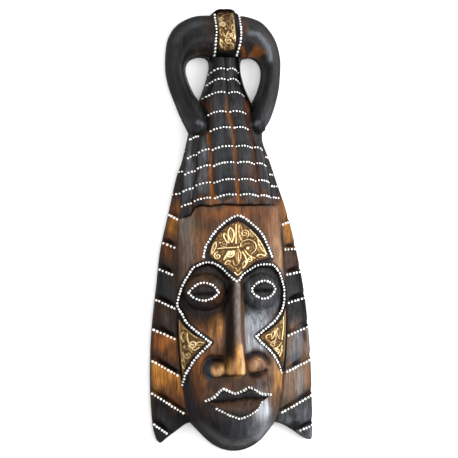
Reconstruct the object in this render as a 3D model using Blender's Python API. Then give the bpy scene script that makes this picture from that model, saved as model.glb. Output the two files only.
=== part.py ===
"""A carved and painted wooden mask: a long face under a roped headdress and a ring of two horns.

The mask lies on its flat back. X runs across the face, Y runs from the chin to the crest, Z is up.
The origin is on the back, at the middle of the length and of the width.
The carving is laid out in carving units, which are millimetres on a mask 500 mm long.
"""

import bmesh
import bpy
import numpy as np
from mathutils import Vector
from mathutils.geometry import delaunay_2d_cdt

# Driving dimensions in metres
MASK_LENGTH = 0.500
MASK_DEPTH = 0.060
RIM_WIDTH = 0.014
HOLLOW_DEPTH = 0.021
HOLLOW_SIDE = 0.017
WALL_THICKNESS = 0.009
SHEET_THICKNESS = 0.0016
RECESS_DEPTH = 0.0010
CLEARANCE = 0.0003

# Fineness of the solids
WOOD_SPACING = 0.0024
WOOD_EDGE_SPACING = 0.0040
SHEET_SPACING = 0.0050
SHEET_EDGE_SPACING = 0.0030
WOOD_SHARE_KEPT = 0.125

# Size of one carving unit across the mask, and of one in its depth of 60 units
UNIT = MASK_LENGTH / 500
RISE = MASK_DEPTH / 60

# Outline of the wood in carving units, clockwise from the crest, one run between each two corners
CREST_RUN = [
    (-13.5, 244.5), (-12.0, 246.8), (-7.0, 249.6), (2.0, 250.0), (10.5, 249.4), (15.5, 246.3), (17.5, 243.8),
]
RIGHT_HORN_RUN = [
    (17.5, 243.8), (27.5, 243.0), (44.3, 236.5), (56.6, 222.5), (62.6, 208.6), (65.3, 192.0),
    (64.3, 174.0), (62.3, 158.0), (57.5, 140.5), (51.0, 124.0), (42.0, 111.5),
]
RIGHT_SIDE_RUN = [
    (42.0, 111.5), (42.4, 99.7), (49.6, 79.1), (56.0, 58.5), (68.9, 17.3), (78.3, -23.9),
    (85.4, -65.1), (89.6, -106.3), (91.8, -150.0), (92.2, -209.0), (91.7, -231.0),
]
RIGHT_TIP_RUN = [
    (91.7, -231.0), (90.8, -238.6), (87.0, -240.2), (78.5, -236.0), (68.9, -229.0), (57.0, -221.5),
    (47.8, -218.5),
]
CHIN_RUN = [
    (47.8, -218.5), (41.5, -228.3), (30.5, -240.0), (16.5, -247.6), (2.0, -250.0),
    (-12.5, -247.0), (-26.0, -239.2), (-39.5, -225.6), (-49.0, -215.0),
]
LEFT_TIP_RUN = [
    (-49.0, -215.0), (-55.5, -217.6), (-64.4, -223.7), (-74.5, -230.6), (-82.5, -236.6), (-86.5, -234.0),
]
LEFT_SIDE_RUN = [
    (-86.5, -234.0), (-90.4, -217.0), (-92.2, -176.0), (-90.8, -132.0), (-87.6, -98.0), (-82.5, -61.0),
    (-76.9, -20.3), (-66.8, 20.3), (-56.7, 60.9), (-49.3, 81.0), (-41.5, 111.5),
]
LEFT_HORN_RUN = [
    (-41.5, 111.5), (-50.2, 130.0), (-57.6, 149.3), (-62.4, 163.0), (-65.6, 178.0), (-66.0, 194.0),
    (-63.2, 216.0), (-55.5, 230.5), (-45.0, 238.5), (-30.5, 243.8), (-13.5, 244.5),
]

# Openings between the horns and the neck, each from its lower tip round to it again
LEFT_OPENING = [
    (-29.8, 145.5), (-36.6, 156.0), (-42.6, 171.0), (-44.6, 184.0), (-39.0, 193.5), (-28.5, 197.6),
    (-19.0, 195.2), (-16.2, 188.0), (-18.6, 175.8), (-22.8, 163.0), (-29.8, 145.5),
]
RIGHT_OPENING = [
    (30.3, 141.8), (24.6, 154.0), (20.0, 167.0), (17.4, 181.5), (18.8, 191.8), (28.0, 196.2),
    (37.5, 193.2), (43.0, 184.0), (42.7, 172.0), (38.3, 157.5), (30.3, 141.8),
]

# Inner side of the ring of horns, from the left foot over both openings to the right foot
HORN_INNER_RUN = [
    (-41.5, 111.5), (-35.5, 107.6), (-27.5, 108.6), (-22.8, 115.5), (-22.6, 127.0), (-25.6, 138.0),
    (-29.8, 146.5), (-36.6, 156.0), (-42.6, 171.0), (-44.6, 184.0), (-39.0, 193.5), (-28.5, 197.6),
    (-15.0, 196.4), (0.0, 195.6), (14.5, 195.6), (28.0, 196.2), (37.5, 193.2), (43.0, 184.0),
    (42.7, 172.0), (38.3, 157.5),
    (31.0, 143.0), (27.4, 133.0), (26.6, 121.0), (29.6, 110.5), (36.0, 107.2), (42.0, 111.5),
]
HORN_CREST = [(105, 37.0), (118, 38.0), (130, 36.0), (160, 31.0), (190, 31.0), (215, 33.0), (250, 33.0)]
HORN_CREST_SHARE = 0.60
HORN_RIM = 12.0

# Rim of the face: down its right side, round the chin, up its left side and over under the hair
RIGHT_FACE_RUN = [
    (57.5, 30.0), (59.0, 0.0), (61.8, -57.0), (63.4, -94.0), (61.2, -136.0), (54.2, -190.0), (47.8, -218.5),
]
LEFT_FACE_RUN = [
    (-49.0, -215.0), (-55.6, -188.0), (-61.2, -133.0), (-62.4, -92.0), (-61.8, -58.0), (-59.0, -20.0),
    (-56.5, 12.0), (-56.0, 30.0),
]
FACE_TOP_RUN = [
    (-56.0, 30.0), (-50.0, 50.0), (-28.0, 63.0), (0.0, 67.0), (28.0, 63.0), (50.0, 50.0), (57.5, 30.0),
]
FACE_PROFILE = [
    (45, 39), (20, 40), (-10, 42), (-45, 43.5), (-75, 39), (-110, 37.5), (-150, 38),
    (-190, 40.5), (-222, 41.5), (-240, 36), (-250, 30),
]
FACE_SHOULDER = 22.0
FACE_BOW = 4.0
FACE_RIM = 21.0
CHIN_RIM = 9.0
MUZZLE_SWELL = 2.2
EDGE_ROUNDING = 4.5
BORDER_BLEND = 0.8

# Hem of the headdress over the forehead
HEM = [
    (-56, 14.5), (-54, 15.8), (-45, 18.8), (-40.5, 26.5), (-35, 29.4), (-23, 28.2), (-10, 30),
    (5, 28.7), (20, 28.5), (40, 28), (57, 27.5),
]

# Bounds of the ropes of hair across the headdress as (Y, X), from the left side to the right
LEFT_HAIR_BOUND = [
    (24.7, -55.5), (42.6, -53.4), (62.7, -50.6), (83.8, -46.7), (107, -42.5), (120, -40), (135, -36),
    (148, -30.8), (161.6, -24.6), (175, -19.7), (188, -17.1), (200, -16),
]
RIGHT_HAIR_BOUND = [
    (36, 49.3), (55, 47.3), (68.7, 45.1), (89, 40.3), (107, 39.5), (120, 37.5), (135, 32),
    (148, 25.3), (161, 19.9), (175, 16.2), (188, 14.9), (200, 15),
]
HAIR_GROOVES = [
    [
        (31, -43.1), (46.5, -41), (64.3, -38.1), (83.1, -36.2), (105.4, -33), (120, -34), (135, -35.5),
        (148, -30.8),
    ],
    [(34.8, -21.8), (77.1, -21.9), (112.7, -23.5), (130, -25.5), (148, -30), (161, -24.4), (200, -15.8)],
    [(34.2, 8), (55.3, 6.5), (89.9, 5.1), (117.7, 3), (135.6, -1.4), (177.8, -0.6), (200, -0.6)],
    [(37.1, 33.8), (52.8, 31), (89.8, 28.8), (110, 23.6), (133.5, 22), (148, 25), (161, 19.7), (200, 14.8)],
]
HAIR_RIDGE = [(25, 45.5), (80, 45), (110, 43), (130, 40), (150, 36), (175, 31), (188, 29), (200, 27)]
HAIR_EDGE = [(25, 24.5), (107, 24), (122, 19), (148, 11), (200, 10)]
TIER_HEIGHTS = [184, 172, 157, 135, 117, 96, 78, 59, 42]
ROPE_DROPS = [9.0, 3.0, 0.0, 0.0, 1.5]
ROPE_PEAKS = [0.9, 0.9, 0.45, -0.2, -0.5]
ROPE_ARCHES = [1.1, 1.1, 2.6, 2.6, 1.6]
NECK_ARCH = 1.5
TIER_STEP = 1.9
ROPE_GROOVE_DEPTH = 3.6

# Cuts across the side locks, each from its outer end to its inner end
LEFT_CUTS = [
    ((-67.9, 21.3), (-59.0, 15.9)), ((-74.8, -10.6), (-62.9, -16.0)), ((-80.0, -40.1), (-66.4, -46.4)),
    ((-85.1, -74.0), (-64.6, -84.1)), ((-88.9, -107.3), (-65.4, -118.2)), ((-91.5, -141.9), (-63.0, -159.1)),
    ((-93.2, -178.0), (-57.4, -202.0)), ((-90.5, -213.6), (-76.0, -224.6)),
]
RIGHT_CUTS = [
    ((69.0, 9.3), (61.6, 6.9)), ((76.5, -21.3), (63.5, -21.5)), ((81.9, -47.3), (64.9, -49.8)),
    ((87.2, -76.9), (65.6, -81.7)), ((89.2, -110.3), (64.7, -118.8)), ((91.3, -147.6), (62.2, -159.8)),
    ((92.7, -187.7), (55.9, -205.8)), ((91.8, -222.2), (76.9, -227.7)),
]
CUT_DEPTH = 4.8
CUT_WIDTH = 7.2
LOCK_OUTER_HEIGHT = 14.0
LOCK_INNER_HEIGHT = 22.5

# Edges of the eye hollows, from the root of the nose over the brow and down to the cheek
LEFT_HOLLOW = [
    (3.6, -57.0), (-5.6, -48.0), (-13.3, -40.2), (-20.8, -35.5), (-30.0, -33.8), (-39.4, -36.6),
    (-45.5, -41.0), (-51.0, -50.0), (-56.0, -60.0), (-59.2, -71.0), (-60.8, -82.0), (-56.0, -92.5),
    (-51.0, -102.0),
    (-41.5, -111.0), (-26.0, -123.0), (-13.0, -118.0), (-8.0, -85.0), (0.0, -66.0),
]
RIGHT_HOLLOW = [
    (5.0, -56.0), (11.0, -48.9), (19.3, -43.3), (27.4, -39.0), (36.2, -37.6), (46.0, -39.6), (54.0, -48.1),
    (58.0, -57.0), (60.4, -70.0), (59.8, -83.0), (55.7, -92.3), (48.0, -100.8), (40.0, -107.5),
    (25.5, -118.7), (15.0, -115.0), (11.0, -85.0), (7.0, -66.0),
]
HOLLOW_SINK = 8.5
LEFT_EYE = (-30.5, -67.5, 24.0, 21.5)
RIGHT_EYE = (32.8, -68.8, 21.5, 21.0)
EYE_SWELL = 10.0
LEFT_LIDS = (-49.3, -16.6, -68.2, -56.7, -76.7)
RIGHT_LIDS = (20.5, 49.0, -66.4, -56.4, -76.6)
LID_SINK = 1.5
SLIT_DEPTH = 2.6
SLIT_WIDTH = 1.7

# Line of the cheeks, where the middle of the face stands over its sides
LEFT_CHEEK_LINE = [
    (-26.5, -124.0), (-33.7, -131.2), (-42.7, -140.5), (-49.4, -150.5), (-55.0, -162.5), (-57.6, -174.0),
]
RIGHT_CHEEK_LINE = [
    (25.5, -119.2), (32.1, -126.6), (38.8, -133.2), (45.7, -141.4), (51.8, -151.5), (55.2, -162.0),
]
CHEEK_STEP = 2.2

# Nose, as heights along it and bulbs beside it
NOSE_LINE = [(-163, 0.0), (-142, 0.8), (-110, 1.8), (-77, 2.4), (-57, 4.4), (-45, 5.0)]
NOSE_RIDGE = [(-163, 60.5), (-150, 60.9), (-142, 60.0), (-110, 54.0), (-77, 49.0), (-60, 45.5), (-45, 43.5)]
NOSE_FLAT = [(-163, 8.2), (-150, 7.2), (-135, 5.2), (-110, 3.8), (-57, 3.0)]
NOSE_FLANK = [(-163, 6.5), (-110, 7.5), (-57, 6.0)]
NOSE_BOW = 0.05
NOSE_END = -159.5
LEFT_WING = (-20.5, -153.0, 14.0, 10.5)
RIGHT_WING = (23.0, -150.5, 13.0, 10.0)
WING_HEIGHT = 48.0
LEFT_WING_CREASE = [(-35.5, -161.5), (-36.5, -153.0), (-33.0, -145.0), (-25.5, -140.5), (-15.0, -141.0)]
RIGHT_WING_CREASE = [(13.5, -141.0), (20.0, -138.0), (28.0, -138.0), (34.5, -142.0), (37.5, -149.0)]
RIGHT_NOSTRIL_CREASE = [(18.0, -160.5), (26.0, -161.5), (34.0, -158.0)]
WING_CREASES = [LEFT_WING_CREASE, RIGHT_WING_CREASE, RIGHT_NOSTRIL_CREASE]
CREASE_DEPTH = 3.4
CREASE_WIDTH = 2.9

# Mouth
UPPER_LIP = [
    (-34.0, -188.4), (-24.4, -183.3), (-15.9, -175.9), (-10.4, -176.6), (-2.2, -180.6), (6.5, -178.8),
    (14.7, -174.7), (22.0, -177.5), (28.9, -182.5), (39.0, -184.6),
]
MOUTH_LINE = [(-34.0, -188.4), (-20.0, -190.0), (-4.0, -189.0), (12.0, -187.4), (27.0, -188.0), (39.0, -184.6)]
LOWER_LIP = [
    (-34.0, -188.4), (-27.5, -193.2), (-22.5, -196.9), (-12.7, -202.6), (-2.0, -207.3), (5.1, -208.6),
    (17.5, -203.9), (25.0, -198.0), (30.5, -190.5), (39.0, -184.6),
]
LIP_SWELL = 5.0
MOUTH_DEPTH = 1.5
MOUTH_WIDTH = 1.5

# Sheets of embossed brass let into the wood
FOREHEAD_SHEET = [
    (7.7, 11.0), (-0.5, 8.6), (-8.5, 3.6), (-16.0, -3.4), (-22.0, -11.8), (-25.6, -20.5), (-25.6, -27.8),
    (-12.6, -36.6), (-1.2, -46.6), (4.8, -51.4), (13.8, -43.8), (25.6, -34.9), (40.6, -31.0),
    (38.2, -23.0), (33.0, -12.6), (26.2, -3.2), (17.0, 5.4),
]
LEFT_CHEEK_SHEET = [
    (-61.0, -95.0), (-54.5, -105.0), (-45.0, -114.2), (-31.0, -123.0), (-38.3, -130.6), (-46.2, -139.0),
    (-52.4, -149.0), (-56.0, -158.5), (-57.4, -165.0), (-59.0, -150.0), (-60.4, -130.0), (-61.1, -112.0),
]
RIGHT_CHEEK_SHEET = [
    (62.0, -86.5), (57.4, -97.8), (49.8, -105.4), (40.0, -112.4), (29.6, -119.2), (36.2, -126.4),
    (43.2, -133.4), (50.6, -142.4), (57.8, -155.5), (61.2, -124.0), (62.3, -100.0),
]
CREST_SHEET = [
    (-6.0, 248.2), (1.6, 249.0), (10.2, 248.0), (11.6, 243.0), (11.3, 224.0), (10.4, 206.0), (8.0, 202.4),
    (0.5, 201.4), (-7.0, 202.6), (-9.2, 206.0), (-8.9, 224.0), (-8.5, 243.0),
]
BAND_LEFT = [(195, -12.5), (215, -12.5), (235, -11.4), (250, -12.6)]
BAND_RIGHT = [(195, 14.0), (215, 18.3), (235, 19.9), (250, 18.8)]
BAND_RISE = 2.5
SHEETS = {
    "crest_band": CREST_SHEET,
    "forehead_plate": FOREHEAD_SHEET,
    "left_cheek_plate": LEFT_CHEEK_SHEET,
    "right_cheek_plate": RIGHT_CHEEK_SHEET,
}


def clear_scene():
    """Removes the objects that a new file holds."""
    for item in list(bpy.data.objects):
        bpy.data.objects.remove(item, do_unlink=True)


def new_collection(name):
    """A collection of the scene with the given name."""
    collection = bpy.data.collections.new(name)
    bpy.context.scene.collection.children.link(collection)
    return collection


def smooth_run(points, steps=5):
    """Points along a Catmull-Rom curve that passes through the given points."""
    knots = np.array(points, float)
    knots = np.vstack([2 * knots[0] - knots[1], knots, 2 * knots[-1] - knots[-2]])
    run = []
    for a, b, c, d in zip(knots[:-3], knots[1:-2], knots[2:-1], knots[3:]):
        for s in np.arange(steps) / steps:
            slope = (c - a) * s + (2 * a - 5 * b + 4 * c - d) * s**2 + (3 * b - a - 3 * c + d) * s**3
            run.append(b + slope / 2)
    run.append(knots[-2])
    return np.array(run)


def joined_runs(*runs):
    """One closed loop from runs that share their end points."""
    return np.vstack([smooth_run(run)[:-1] for run in runs])


def closed_loop(run):
    """A loop of points with its first point repeated at the end."""
    return np.vstack([run, run[:1]])


def respaced(loop, spacing):
    """A closed loop with points an even distance apart."""
    path = closed_loop(loop)
    lengths = np.hypot(*np.diff(path, axis=0).T)
    along = np.concatenate([[0], np.cumsum(lengths)])
    count = int(np.ceil(along[-1] / spacing))
    places = np.arange(count) * along[-1] / count
    return np.column_stack([np.interp(places, along, path[:, k]) for k in (0, 1)])


def outward(loop):
    """The outward direction at each point of a closed loop."""
    along = np.roll(loop, -1, axis=0) - np.roll(loop, 1, axis=0)
    side = np.column_stack([along[:, 1], -along[:, 0]])
    side /= np.hypot(side[:, 0], side[:, 1])[:, None]
    following = np.roll(loop, -1, axis=0)
    return side * np.sign(np.sum(loop[:, 0] * following[:, 1] - following[:, 0] * loop[:, 1]))


def spread(x, y, loop, growth):
    """The points, with those that lie on a loop moved outwards by a growth."""
    gaps = np.hypot(x[:, None] - loop[:, 0], y[:, None] - loop[:, 1])
    nearest = gaps.argmin(axis=1)
    moves = outward(loop)[nearest] * growth * (gaps.min(axis=1) < 1e-3)[:, None]
    return x + moves[:, 0], y + moves[:, 1]


def distance(x, y, path):
    """The shortest distance from each point to a path."""
    nearest = np.full(x.shape, 1e9)
    for (ax, ay), (bx, by) in zip(path[:-1], path[1:]):
        dx, dy = bx - ax, by - ay
        share = np.clip(((x - ax) * dx + (y - ay) * dy) / (dx * dx + dy * dy + 1e-12), 0, 1)
        nearest = np.minimum(nearest, np.hypot(x - ax - share * dx, y - ay - share * dy))
    return nearest


def inside(x, y, loop):
    """Whether each point lies inside a closed loop."""
    crossings = np.zeros(x.shape, int)
    path = closed_loop(loop)
    for (ax, ay), (bx, by) in zip(path[:-1], path[1:]):
        if ay == by:
            continue
        spans = (ay > y) != (by > y)
        crossings += spans & (x < ax + (y - ay) * (bx - ax) / (by - ay))
    return crossings % 2 == 1


def depth_inside(x, y, loop):
    """The distance of each point from a closed loop, positive inside it."""
    return np.where(inside(x, y, loop), 1, -1) * distance(x, y, closed_loop(loop))


def ease(value, start, end):
    """A smooth step from 0 at start to 1 at end."""
    share = np.clip((value - start) / (end - start), 0, 1)
    return share * share * (3 - 2 * share)


def table(value, pairs):
    """A value read from a table of pairs, with straight lines between them."""
    ordered = sorted(pairs)
    return np.interp(value, [pair[0] for pair in ordered], [pair[1] for pair in ordered])


def smooth_table(value, pairs):
    """A value read from a table of pairs, with a smooth curve between them."""
    run = smooth_run(sorted(pairs))
    return np.interp(value, run[:, 0], run[:, 1])


WOOD_OUTLINE = joined_runs(
    CREST_RUN, RIGHT_HORN_RUN, RIGHT_SIDE_RUN, RIGHT_TIP_RUN,
    CHIN_RUN, LEFT_TIP_RUN, LEFT_SIDE_RUN, LEFT_HORN_RUN,
)
OPENINGS = [smooth_run(LEFT_OPENING)[:-1], smooth_run(RIGHT_OPENING)[:-1]]
HORN_OUTER = np.vstack([smooth_run(run) for run in (LEFT_HORN_RUN, CREST_RUN, RIGHT_HORN_RUN)])
HORN_INNER = smooth_run(HORN_INNER_RUN)
FACE_LOOP = joined_runs(RIGHT_FACE_RUN, CHIN_RUN, LEFT_FACE_RUN, FACE_TOP_RUN)
LOCK_INNER_LEFT = smooth_run([(px, py) for py, px in LEFT_HAIR_BOUND[4:0:-1]] + LEFT_FACE_RUN[-2::-1])
LOCK_INNER_RIGHT = smooth_run([(px, py) for py, px in RIGHT_HAIR_BOUND[4::-1]] + RIGHT_FACE_RUN[1:])


def hollow_height(x, y, hollow, eye):
    """How far the hollow round an eye sinks, less the swell of the eye in it."""
    loop = smooth_run(hollow)
    depth = depth_inside(x, y, loop)
    fade = ease(y, -112, -86)
    sink = -HOLLOW_SINK * ease(depth, -0.8, 5.5) * fade
    reach = np.hypot((x - eye[0]) / eye[2], (y - eye[1]) / eye[3])
    swell = EYE_SWELL * np.clip(1 - reach**2.6, 0, 1) ** 0.7
    return sink + swell * ease(depth, -1, 2)


def lid_opening(x, y, lids):
    """The sunk almond between the lids of an eye, with a slit along it."""
    left, right, level, top, bottom = lids
    middle, half = (left + right) / 2, (right - left) / 2
    across = np.clip(1 - ((x - middle) / half) ** 2, 0, 1) ** 0.8
    share = np.where(y > level, (y - level) / (top - level), (y - level) / (bottom - level))
    gap = across - share
    slit = np.exp(-(((y - level + 1.5) / SLIT_WIDTH) ** 2)) * ease(across, 0.25, 0.7)
    return -LID_SINK * ease(gap, 0.05, 0.45) - SLIT_DEPTH * slit


def nose_height(x, y, ground):
    """The nose and its two wings, standing on the ground of the face."""
    off = np.abs(x - smooth_table(y, NOSE_LINE))
    share = np.clip((off - table(y, NOSE_FLAT)) / table(y, NOSE_FLANK), 0, 1)
    ends = ease(y, NOSE_END - 3.5, NOSE_END + 1.5) * ease(-y, 44, 62)
    crown = smooth_table(y, NOSE_RIDGE) - NOSE_BOW * off**2
    height = ground + (crown - ground) * (1 - ease(share, -0.15, 1)) * ends
    for wing in (LEFT_WING, RIGHT_WING):
        reach = np.hypot((x - wing[0]) / wing[2], (y - wing[1]) / wing[3])
        bulb = ground + (WING_HEIGHT - ground) * np.clip(1 - reach**2.4, 0, 1) ** 0.85
        height = np.maximum(height, bulb)
    for crease in WING_CREASES:
        away = distance(x, y, smooth_run(crease))
        height = height - CREASE_DEPTH * np.exp(-((away / CREASE_WIDTH) ** 2))
    return height


def lip_swell(x, y, contour):
    """The swell of a lip between its contour and the line of the mouth."""
    outer = smooth_run(contour)
    line = smooth_run(MOUTH_LINE)
    loop = np.vstack([outer, line[::-1][1:-1]])
    to_outer = distance(x, y, outer)
    to_line = distance(x, y, line)
    share = to_outer / (to_outer + to_line + 1e-6)
    rounded = np.sin(np.pi * np.clip(share, 0, 1) ** 0.75)
    return np.where(inside(x, y, loop), LIP_SWELL * rounded ** 0.7, 0)


def face_height(x, y):
    """The height of the face, from its rim to its features."""
    depth = depth_inside(x, y, FACE_LOOP)
    rim = CHIN_RIM + (FACE_RIM - CHIN_RIM) * ease(y, -232, -208)
    crown = smooth_table(y, FACE_PROFILE) - FACE_BOW * (x / 60) ** 2
    shoulder = 1 - (1 - np.clip(depth / FACE_SHOULDER, 0, 1)) ** 2
    ground = rim + (crown - rim) * shoulder
    for cheek, side in ((LEFT_CHEEK_LINE, -1), (RIGHT_CHEEK_LINE, 1)):
        line = smooth_run(cheek)
        edge_x = np.interp(-y, -line[:, 1], line[:, 0])
        beyond = side * (x - edge_x)
        step = ease(beyond, -1.0, 1.0) * np.exp(-np.clip(beyond, 0, None) / 9)
        ground = ground - CHEEK_STEP * step * ease(-y, 121, 132) * ease(y, -182, -164)
    height = ground + MUZZLE_SWELL * np.exp(-((x / 34) ** 4) - (((y + 190) / 30) ** 4))
    for hollow, eye, lids in ((LEFT_HOLLOW, LEFT_EYE, LEFT_LIDS), (RIGHT_HOLLOW, RIGHT_EYE, RIGHT_LIDS)):
        height = height + hollow_height(x, y, hollow, eye) + lid_opening(x, y, lids)
    height = nose_height(x, y, height)
    height = height + lip_swell(x, y, UPPER_LIP) + lip_swell(x, y, LOWER_LIP)
    mouth = distance(x, y, smooth_run(MOUTH_LINE))
    return height - MOUTH_DEPTH * np.exp(-((mouth / MOUTH_WIDTH) ** 2))


def tier_line(rope, tier, place):
    """The Y of the edge of a tier at a place across its rope, from -1 to 1."""
    arch = ROPE_ARCHES[rope] * (NECK_ARCH if tier > 150 else 1.0)
    return tier - ROPE_DROPS[rope] - arch * (place - ROPE_PEAKS[rope]) ** 2


def hair_height(x, y):
    """The height of the roped headdress and the neck."""
    left = table(y, LEFT_HAIR_BOUND)
    right = table(y, RIGHT_HAIR_BOUND)
    share = np.clip(np.abs(2 * (x - left) / (right - left) - 1), 0, 1)
    edge = table(y, HAIR_EDGE)
    height = edge + (smooth_table(y, HAIR_RIDGE) - edge) * (1 - share**2.3) ** 0.75
    bounds = [left] + [table(y, groove) for groove in HAIR_GROOVES] + [right]
    for rope, (low, high) in enumerate(zip(bounds[:-1], bounds[1:])):
        width = np.maximum(high - low, 0.5)
        place = 2 * (x - low) / width - 1
        own = (np.abs(place) <= 1) & (high - low > 2)
        rounding = -ROPE_GROOVE_DEPTH * np.abs(np.clip(place, -1, 1)) ** 3.5
        tiers = np.zeros(x.shape)
        for tier in TIER_HEIGHTS:
            above = y - tier_line(rope, tier, place)
            tiers = tiers - TIER_STEP * np.exp(-np.maximum(above, 0) / 3.5) * ease(above, -0.9, 0.3)
        height = height + np.where(own, rounding + tiers, 0)
    return height


def lock_height(x, y, to_edge):
    """The height of the side locks, with the cuts across them."""
    to_inner = np.minimum(distance(x, y, LOCK_INNER_LEFT), distance(x, y, LOCK_INNER_RIGHT))
    share = to_edge / (to_edge + to_inner + 1e-6)
    height = LOCK_OUTER_HEIGHT + (LOCK_INNER_HEIGHT - LOCK_OUTER_HEIGHT) * share
    for outer, inner in LEFT_CUTS + RIGHT_CUTS:
        along = np.array(inner) - np.array(outer)
        length = np.hypot(*along)
        along = along / length
        up = np.array([-along[1], along[0]])
        up = up * np.sign(up[1])
        share = ((x - outer[0]) * along[0] + (y - outer[1]) * along[1]) / length
        above = (x - outer[0]) * up[0] + (y - outer[1]) * up[1]
        width = CUT_WIDTH * np.clip(1.02 - share, 0, 1) ** 0.5 + 0.01
        slope = (1 - np.clip((above - 1.4) / width, 0, 1) ** 1.6) * ease(above, 0.4, 2.0)
        height = height - CUT_DEPTH * slope * ease(width, 0.5, 3.5) * (share < 1.02) * (share > -0.4)
    return height


def horn_height(x, y):
    """The height of the ring of horns and of the band over its crest."""
    to_outer = distance(x, y, HORN_OUTER)
    to_inner = distance(x, y, HORN_INNER)
    share = to_outer / (to_outer + to_inner + 1e-6)
    crest = smooth_table(y, HORN_CREST)
    rise = np.clip(share / HORN_CREST_SHARE, 0, 1)
    fall = np.clip((share - HORN_CREST_SHARE) / (1 - HORN_CREST_SHARE), 0, 1)
    height = np.where(
        share < HORN_CREST_SHARE,
        HORN_RIM + (crest - HORN_RIM) * np.sin(rise * np.pi / 2),
        HORN_RIM + (crest - HORN_RIM) * (1 - fall**2.1) ** 0.75,
    )
    return height + BAND_RISE * on_band(x, y)


def on_band(x, y):
    """1 on the band over the crest and 0 beside it."""
    past_left = ease(x - table(y, BAND_LEFT), -BORDER_BLEND, BORDER_BLEND)
    return past_left * ease(table(y, BAND_RIGHT) - x, -BORDER_BLEND, BORDER_BLEND) * (y > 150)


def wood_front(x, y):
    """The height of the carved front of the wood, in carving units."""
    to_edge = distance(x, y, closed_loop(WOOD_OUTLINE))
    face = face_height(x, y)
    hair = hair_height(x, y)
    lock = lock_height(x, y, to_edge)
    past_left = ease(x - table(y, LEFT_HAIR_BOUND), -BORDER_BLEND, BORDER_BLEND)
    short_of_right = ease(table(y, RIGHT_HAIR_BOUND) - x, -BORDER_BLEND, BORDER_BLEND)
    in_hair = past_left * short_of_right
    hem = np.interp(x, [point[0] for point in HEM], [point[1] for point in HEM])
    over_hem = ease(y - hem, -BORDER_BLEND, BORDER_BLEND)
    in_face = ease(depth_inside(x, y, FACE_LOOP), -BORDER_BLEND, BORDER_BLEND) * (1 - over_hem)
    height = lock + (hair - lock) * in_hair * over_hem
    height = height + (face - height) * in_face
    horn_loop = np.vstack([HORN_OUTER, HORN_INNER[::-1][1:-1]])
    horn = horn_height(x, y)
    on_horn = ease(depth_inside(x, y, horn_loop), -0.4, 0.8)
    height = height + (np.maximum(horn, height * (y < 195)) - height) * on_horn
    rounding = 1 - np.sqrt(1 - (1 - np.clip(to_edge / EDGE_ROUNDING, 0, 1)) ** 2)
    return height - EDGE_ROUNDING * rounding * (1 - on_band(x, y))


def wood_back(x, y, front):
    """The height of the back: a flat rim round a hollow behind the face, in metres."""
    depth = depth_inside(x, y, FACE_LOOP) * UNIT - RIM_WIDTH
    bowl = HOLLOW_DEPTH * (1 - (1 - np.clip(depth / HOLLOW_SIDE, 0, 1)) ** 2)
    return np.maximum(0, np.minimum(bowl, front - WALL_THICKNESS))


def lattice(loop, spacing):
    """Points in rows across the box of a loop, each row set over by half a space."""
    low, high = loop.min(axis=0), loop.max(axis=0)
    rise = spacing * np.sqrt(3) / 2
    points = []
    for row in range(int(low[1] // rise), int(high[1] // rise) + 1):
        for place in range(int(low[0] // spacing), int(high[0] // spacing) + 1):
            points.append(((place + row % 2 / 2) * spacing, row * rise))
    return np.array(points)


def cut_blank(name, edges, spacing):
    """A flat triangulated blank: the first loop is its edge and the others are holes in it."""
    grid = lattice(edges[0], spacing / UNIT)
    x, y = grid[:, 0], grid[:, 1]
    keep = depth_inside(x, y, edges[0]) > 0.45 * spacing / UNIT
    for hole in edges[1:]:
        keep &= depth_inside(x, y, hole) < -0.45 * spacing / UNIT
    points = np.vstack(edges + [grid[keep]])
    borders = []
    start = 0
    for loop in edges:
        count = len(loop)
        borders += [(start + k, start + (k + 1) % count) for k in range(count)]
        start += count
    corners, _, triangles, *_ = delaunay_2d_cdt([Vector(p) for p in points], borders, [], 0, 1e-7)
    corners = np.array([tuple(corner) for corner in corners])
    middles = np.array([corners[list(triangle)].mean(axis=0) for triangle in triangles])
    keep = inside(middles[:, 0], middles[:, 1], edges[0])
    for hole in edges[1:]:
        keep &= ~inside(middles[:, 0], middles[:, 1], hole)
    faces = [triangle for triangle, kept in zip(triangles, keep) if kept]
    mesh = bpy.data.meshes.new(name)
    mesh.from_pydata([(px, py, 0) for px, py in corners], [], faces)
    return mesh


def carved(name, loops, spacings, front, back, growth=0.0):
    """A blank cut to its loops, given thickness, carved to its heights and grown at its edge."""
    spacing, edge_spacing = spacings
    edges = [respaced(loop, edge_spacing / UNIT) for loop in loops]
    mesh = cut_blank(name, edges, spacing)
    shape = bmesh.new()
    shape.from_mesh(mesh)
    bmesh.ops.recalc_face_normals(shape, faces=shape.faces)
    lower = list(shape.verts)
    grown = bmesh.ops.extrude_face_region(shape, geom=list(shape.faces))
    upper = [item for item in grown["geom"] if isinstance(item, bmesh.types.BMVert)]
    for verts, height in ((upper, front), (lower, back)):
        x = np.array([vert.co.x for vert in verts])
        y = np.array([vert.co.y for vert in verts])
        z = height(x, y)
        if growth:
            x, y = spread(x, y, edges[0], growth / UNIT)
        for vert, px, py, pz in zip(verts, x, y, z):
            vert.co = (px * UNIT, py * UNIT, pz)
    bmesh.ops.delete(shape, geom=[v for v in shape.verts if not v.link_faces], context="VERTS")
    bmesh.ops.recalc_face_normals(shape, faces=shape.faces)
    shape.to_mesh(mesh)
    shape.free()
    return mesh


def material(name, colour, roughness, metallic=0.0):
    """A material with one Principled BSDF."""
    made = bpy.data.materials.new(name)
    made.use_nodes = True
    shader = made.node_tree.nodes["Principled BSDF"]
    shader.inputs["Base Color"].default_value = (*colour, 1)
    shader.inputs["Roughness"].default_value = roughness
    shader.inputs["Metallic"].default_value = metallic
    return made


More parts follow.
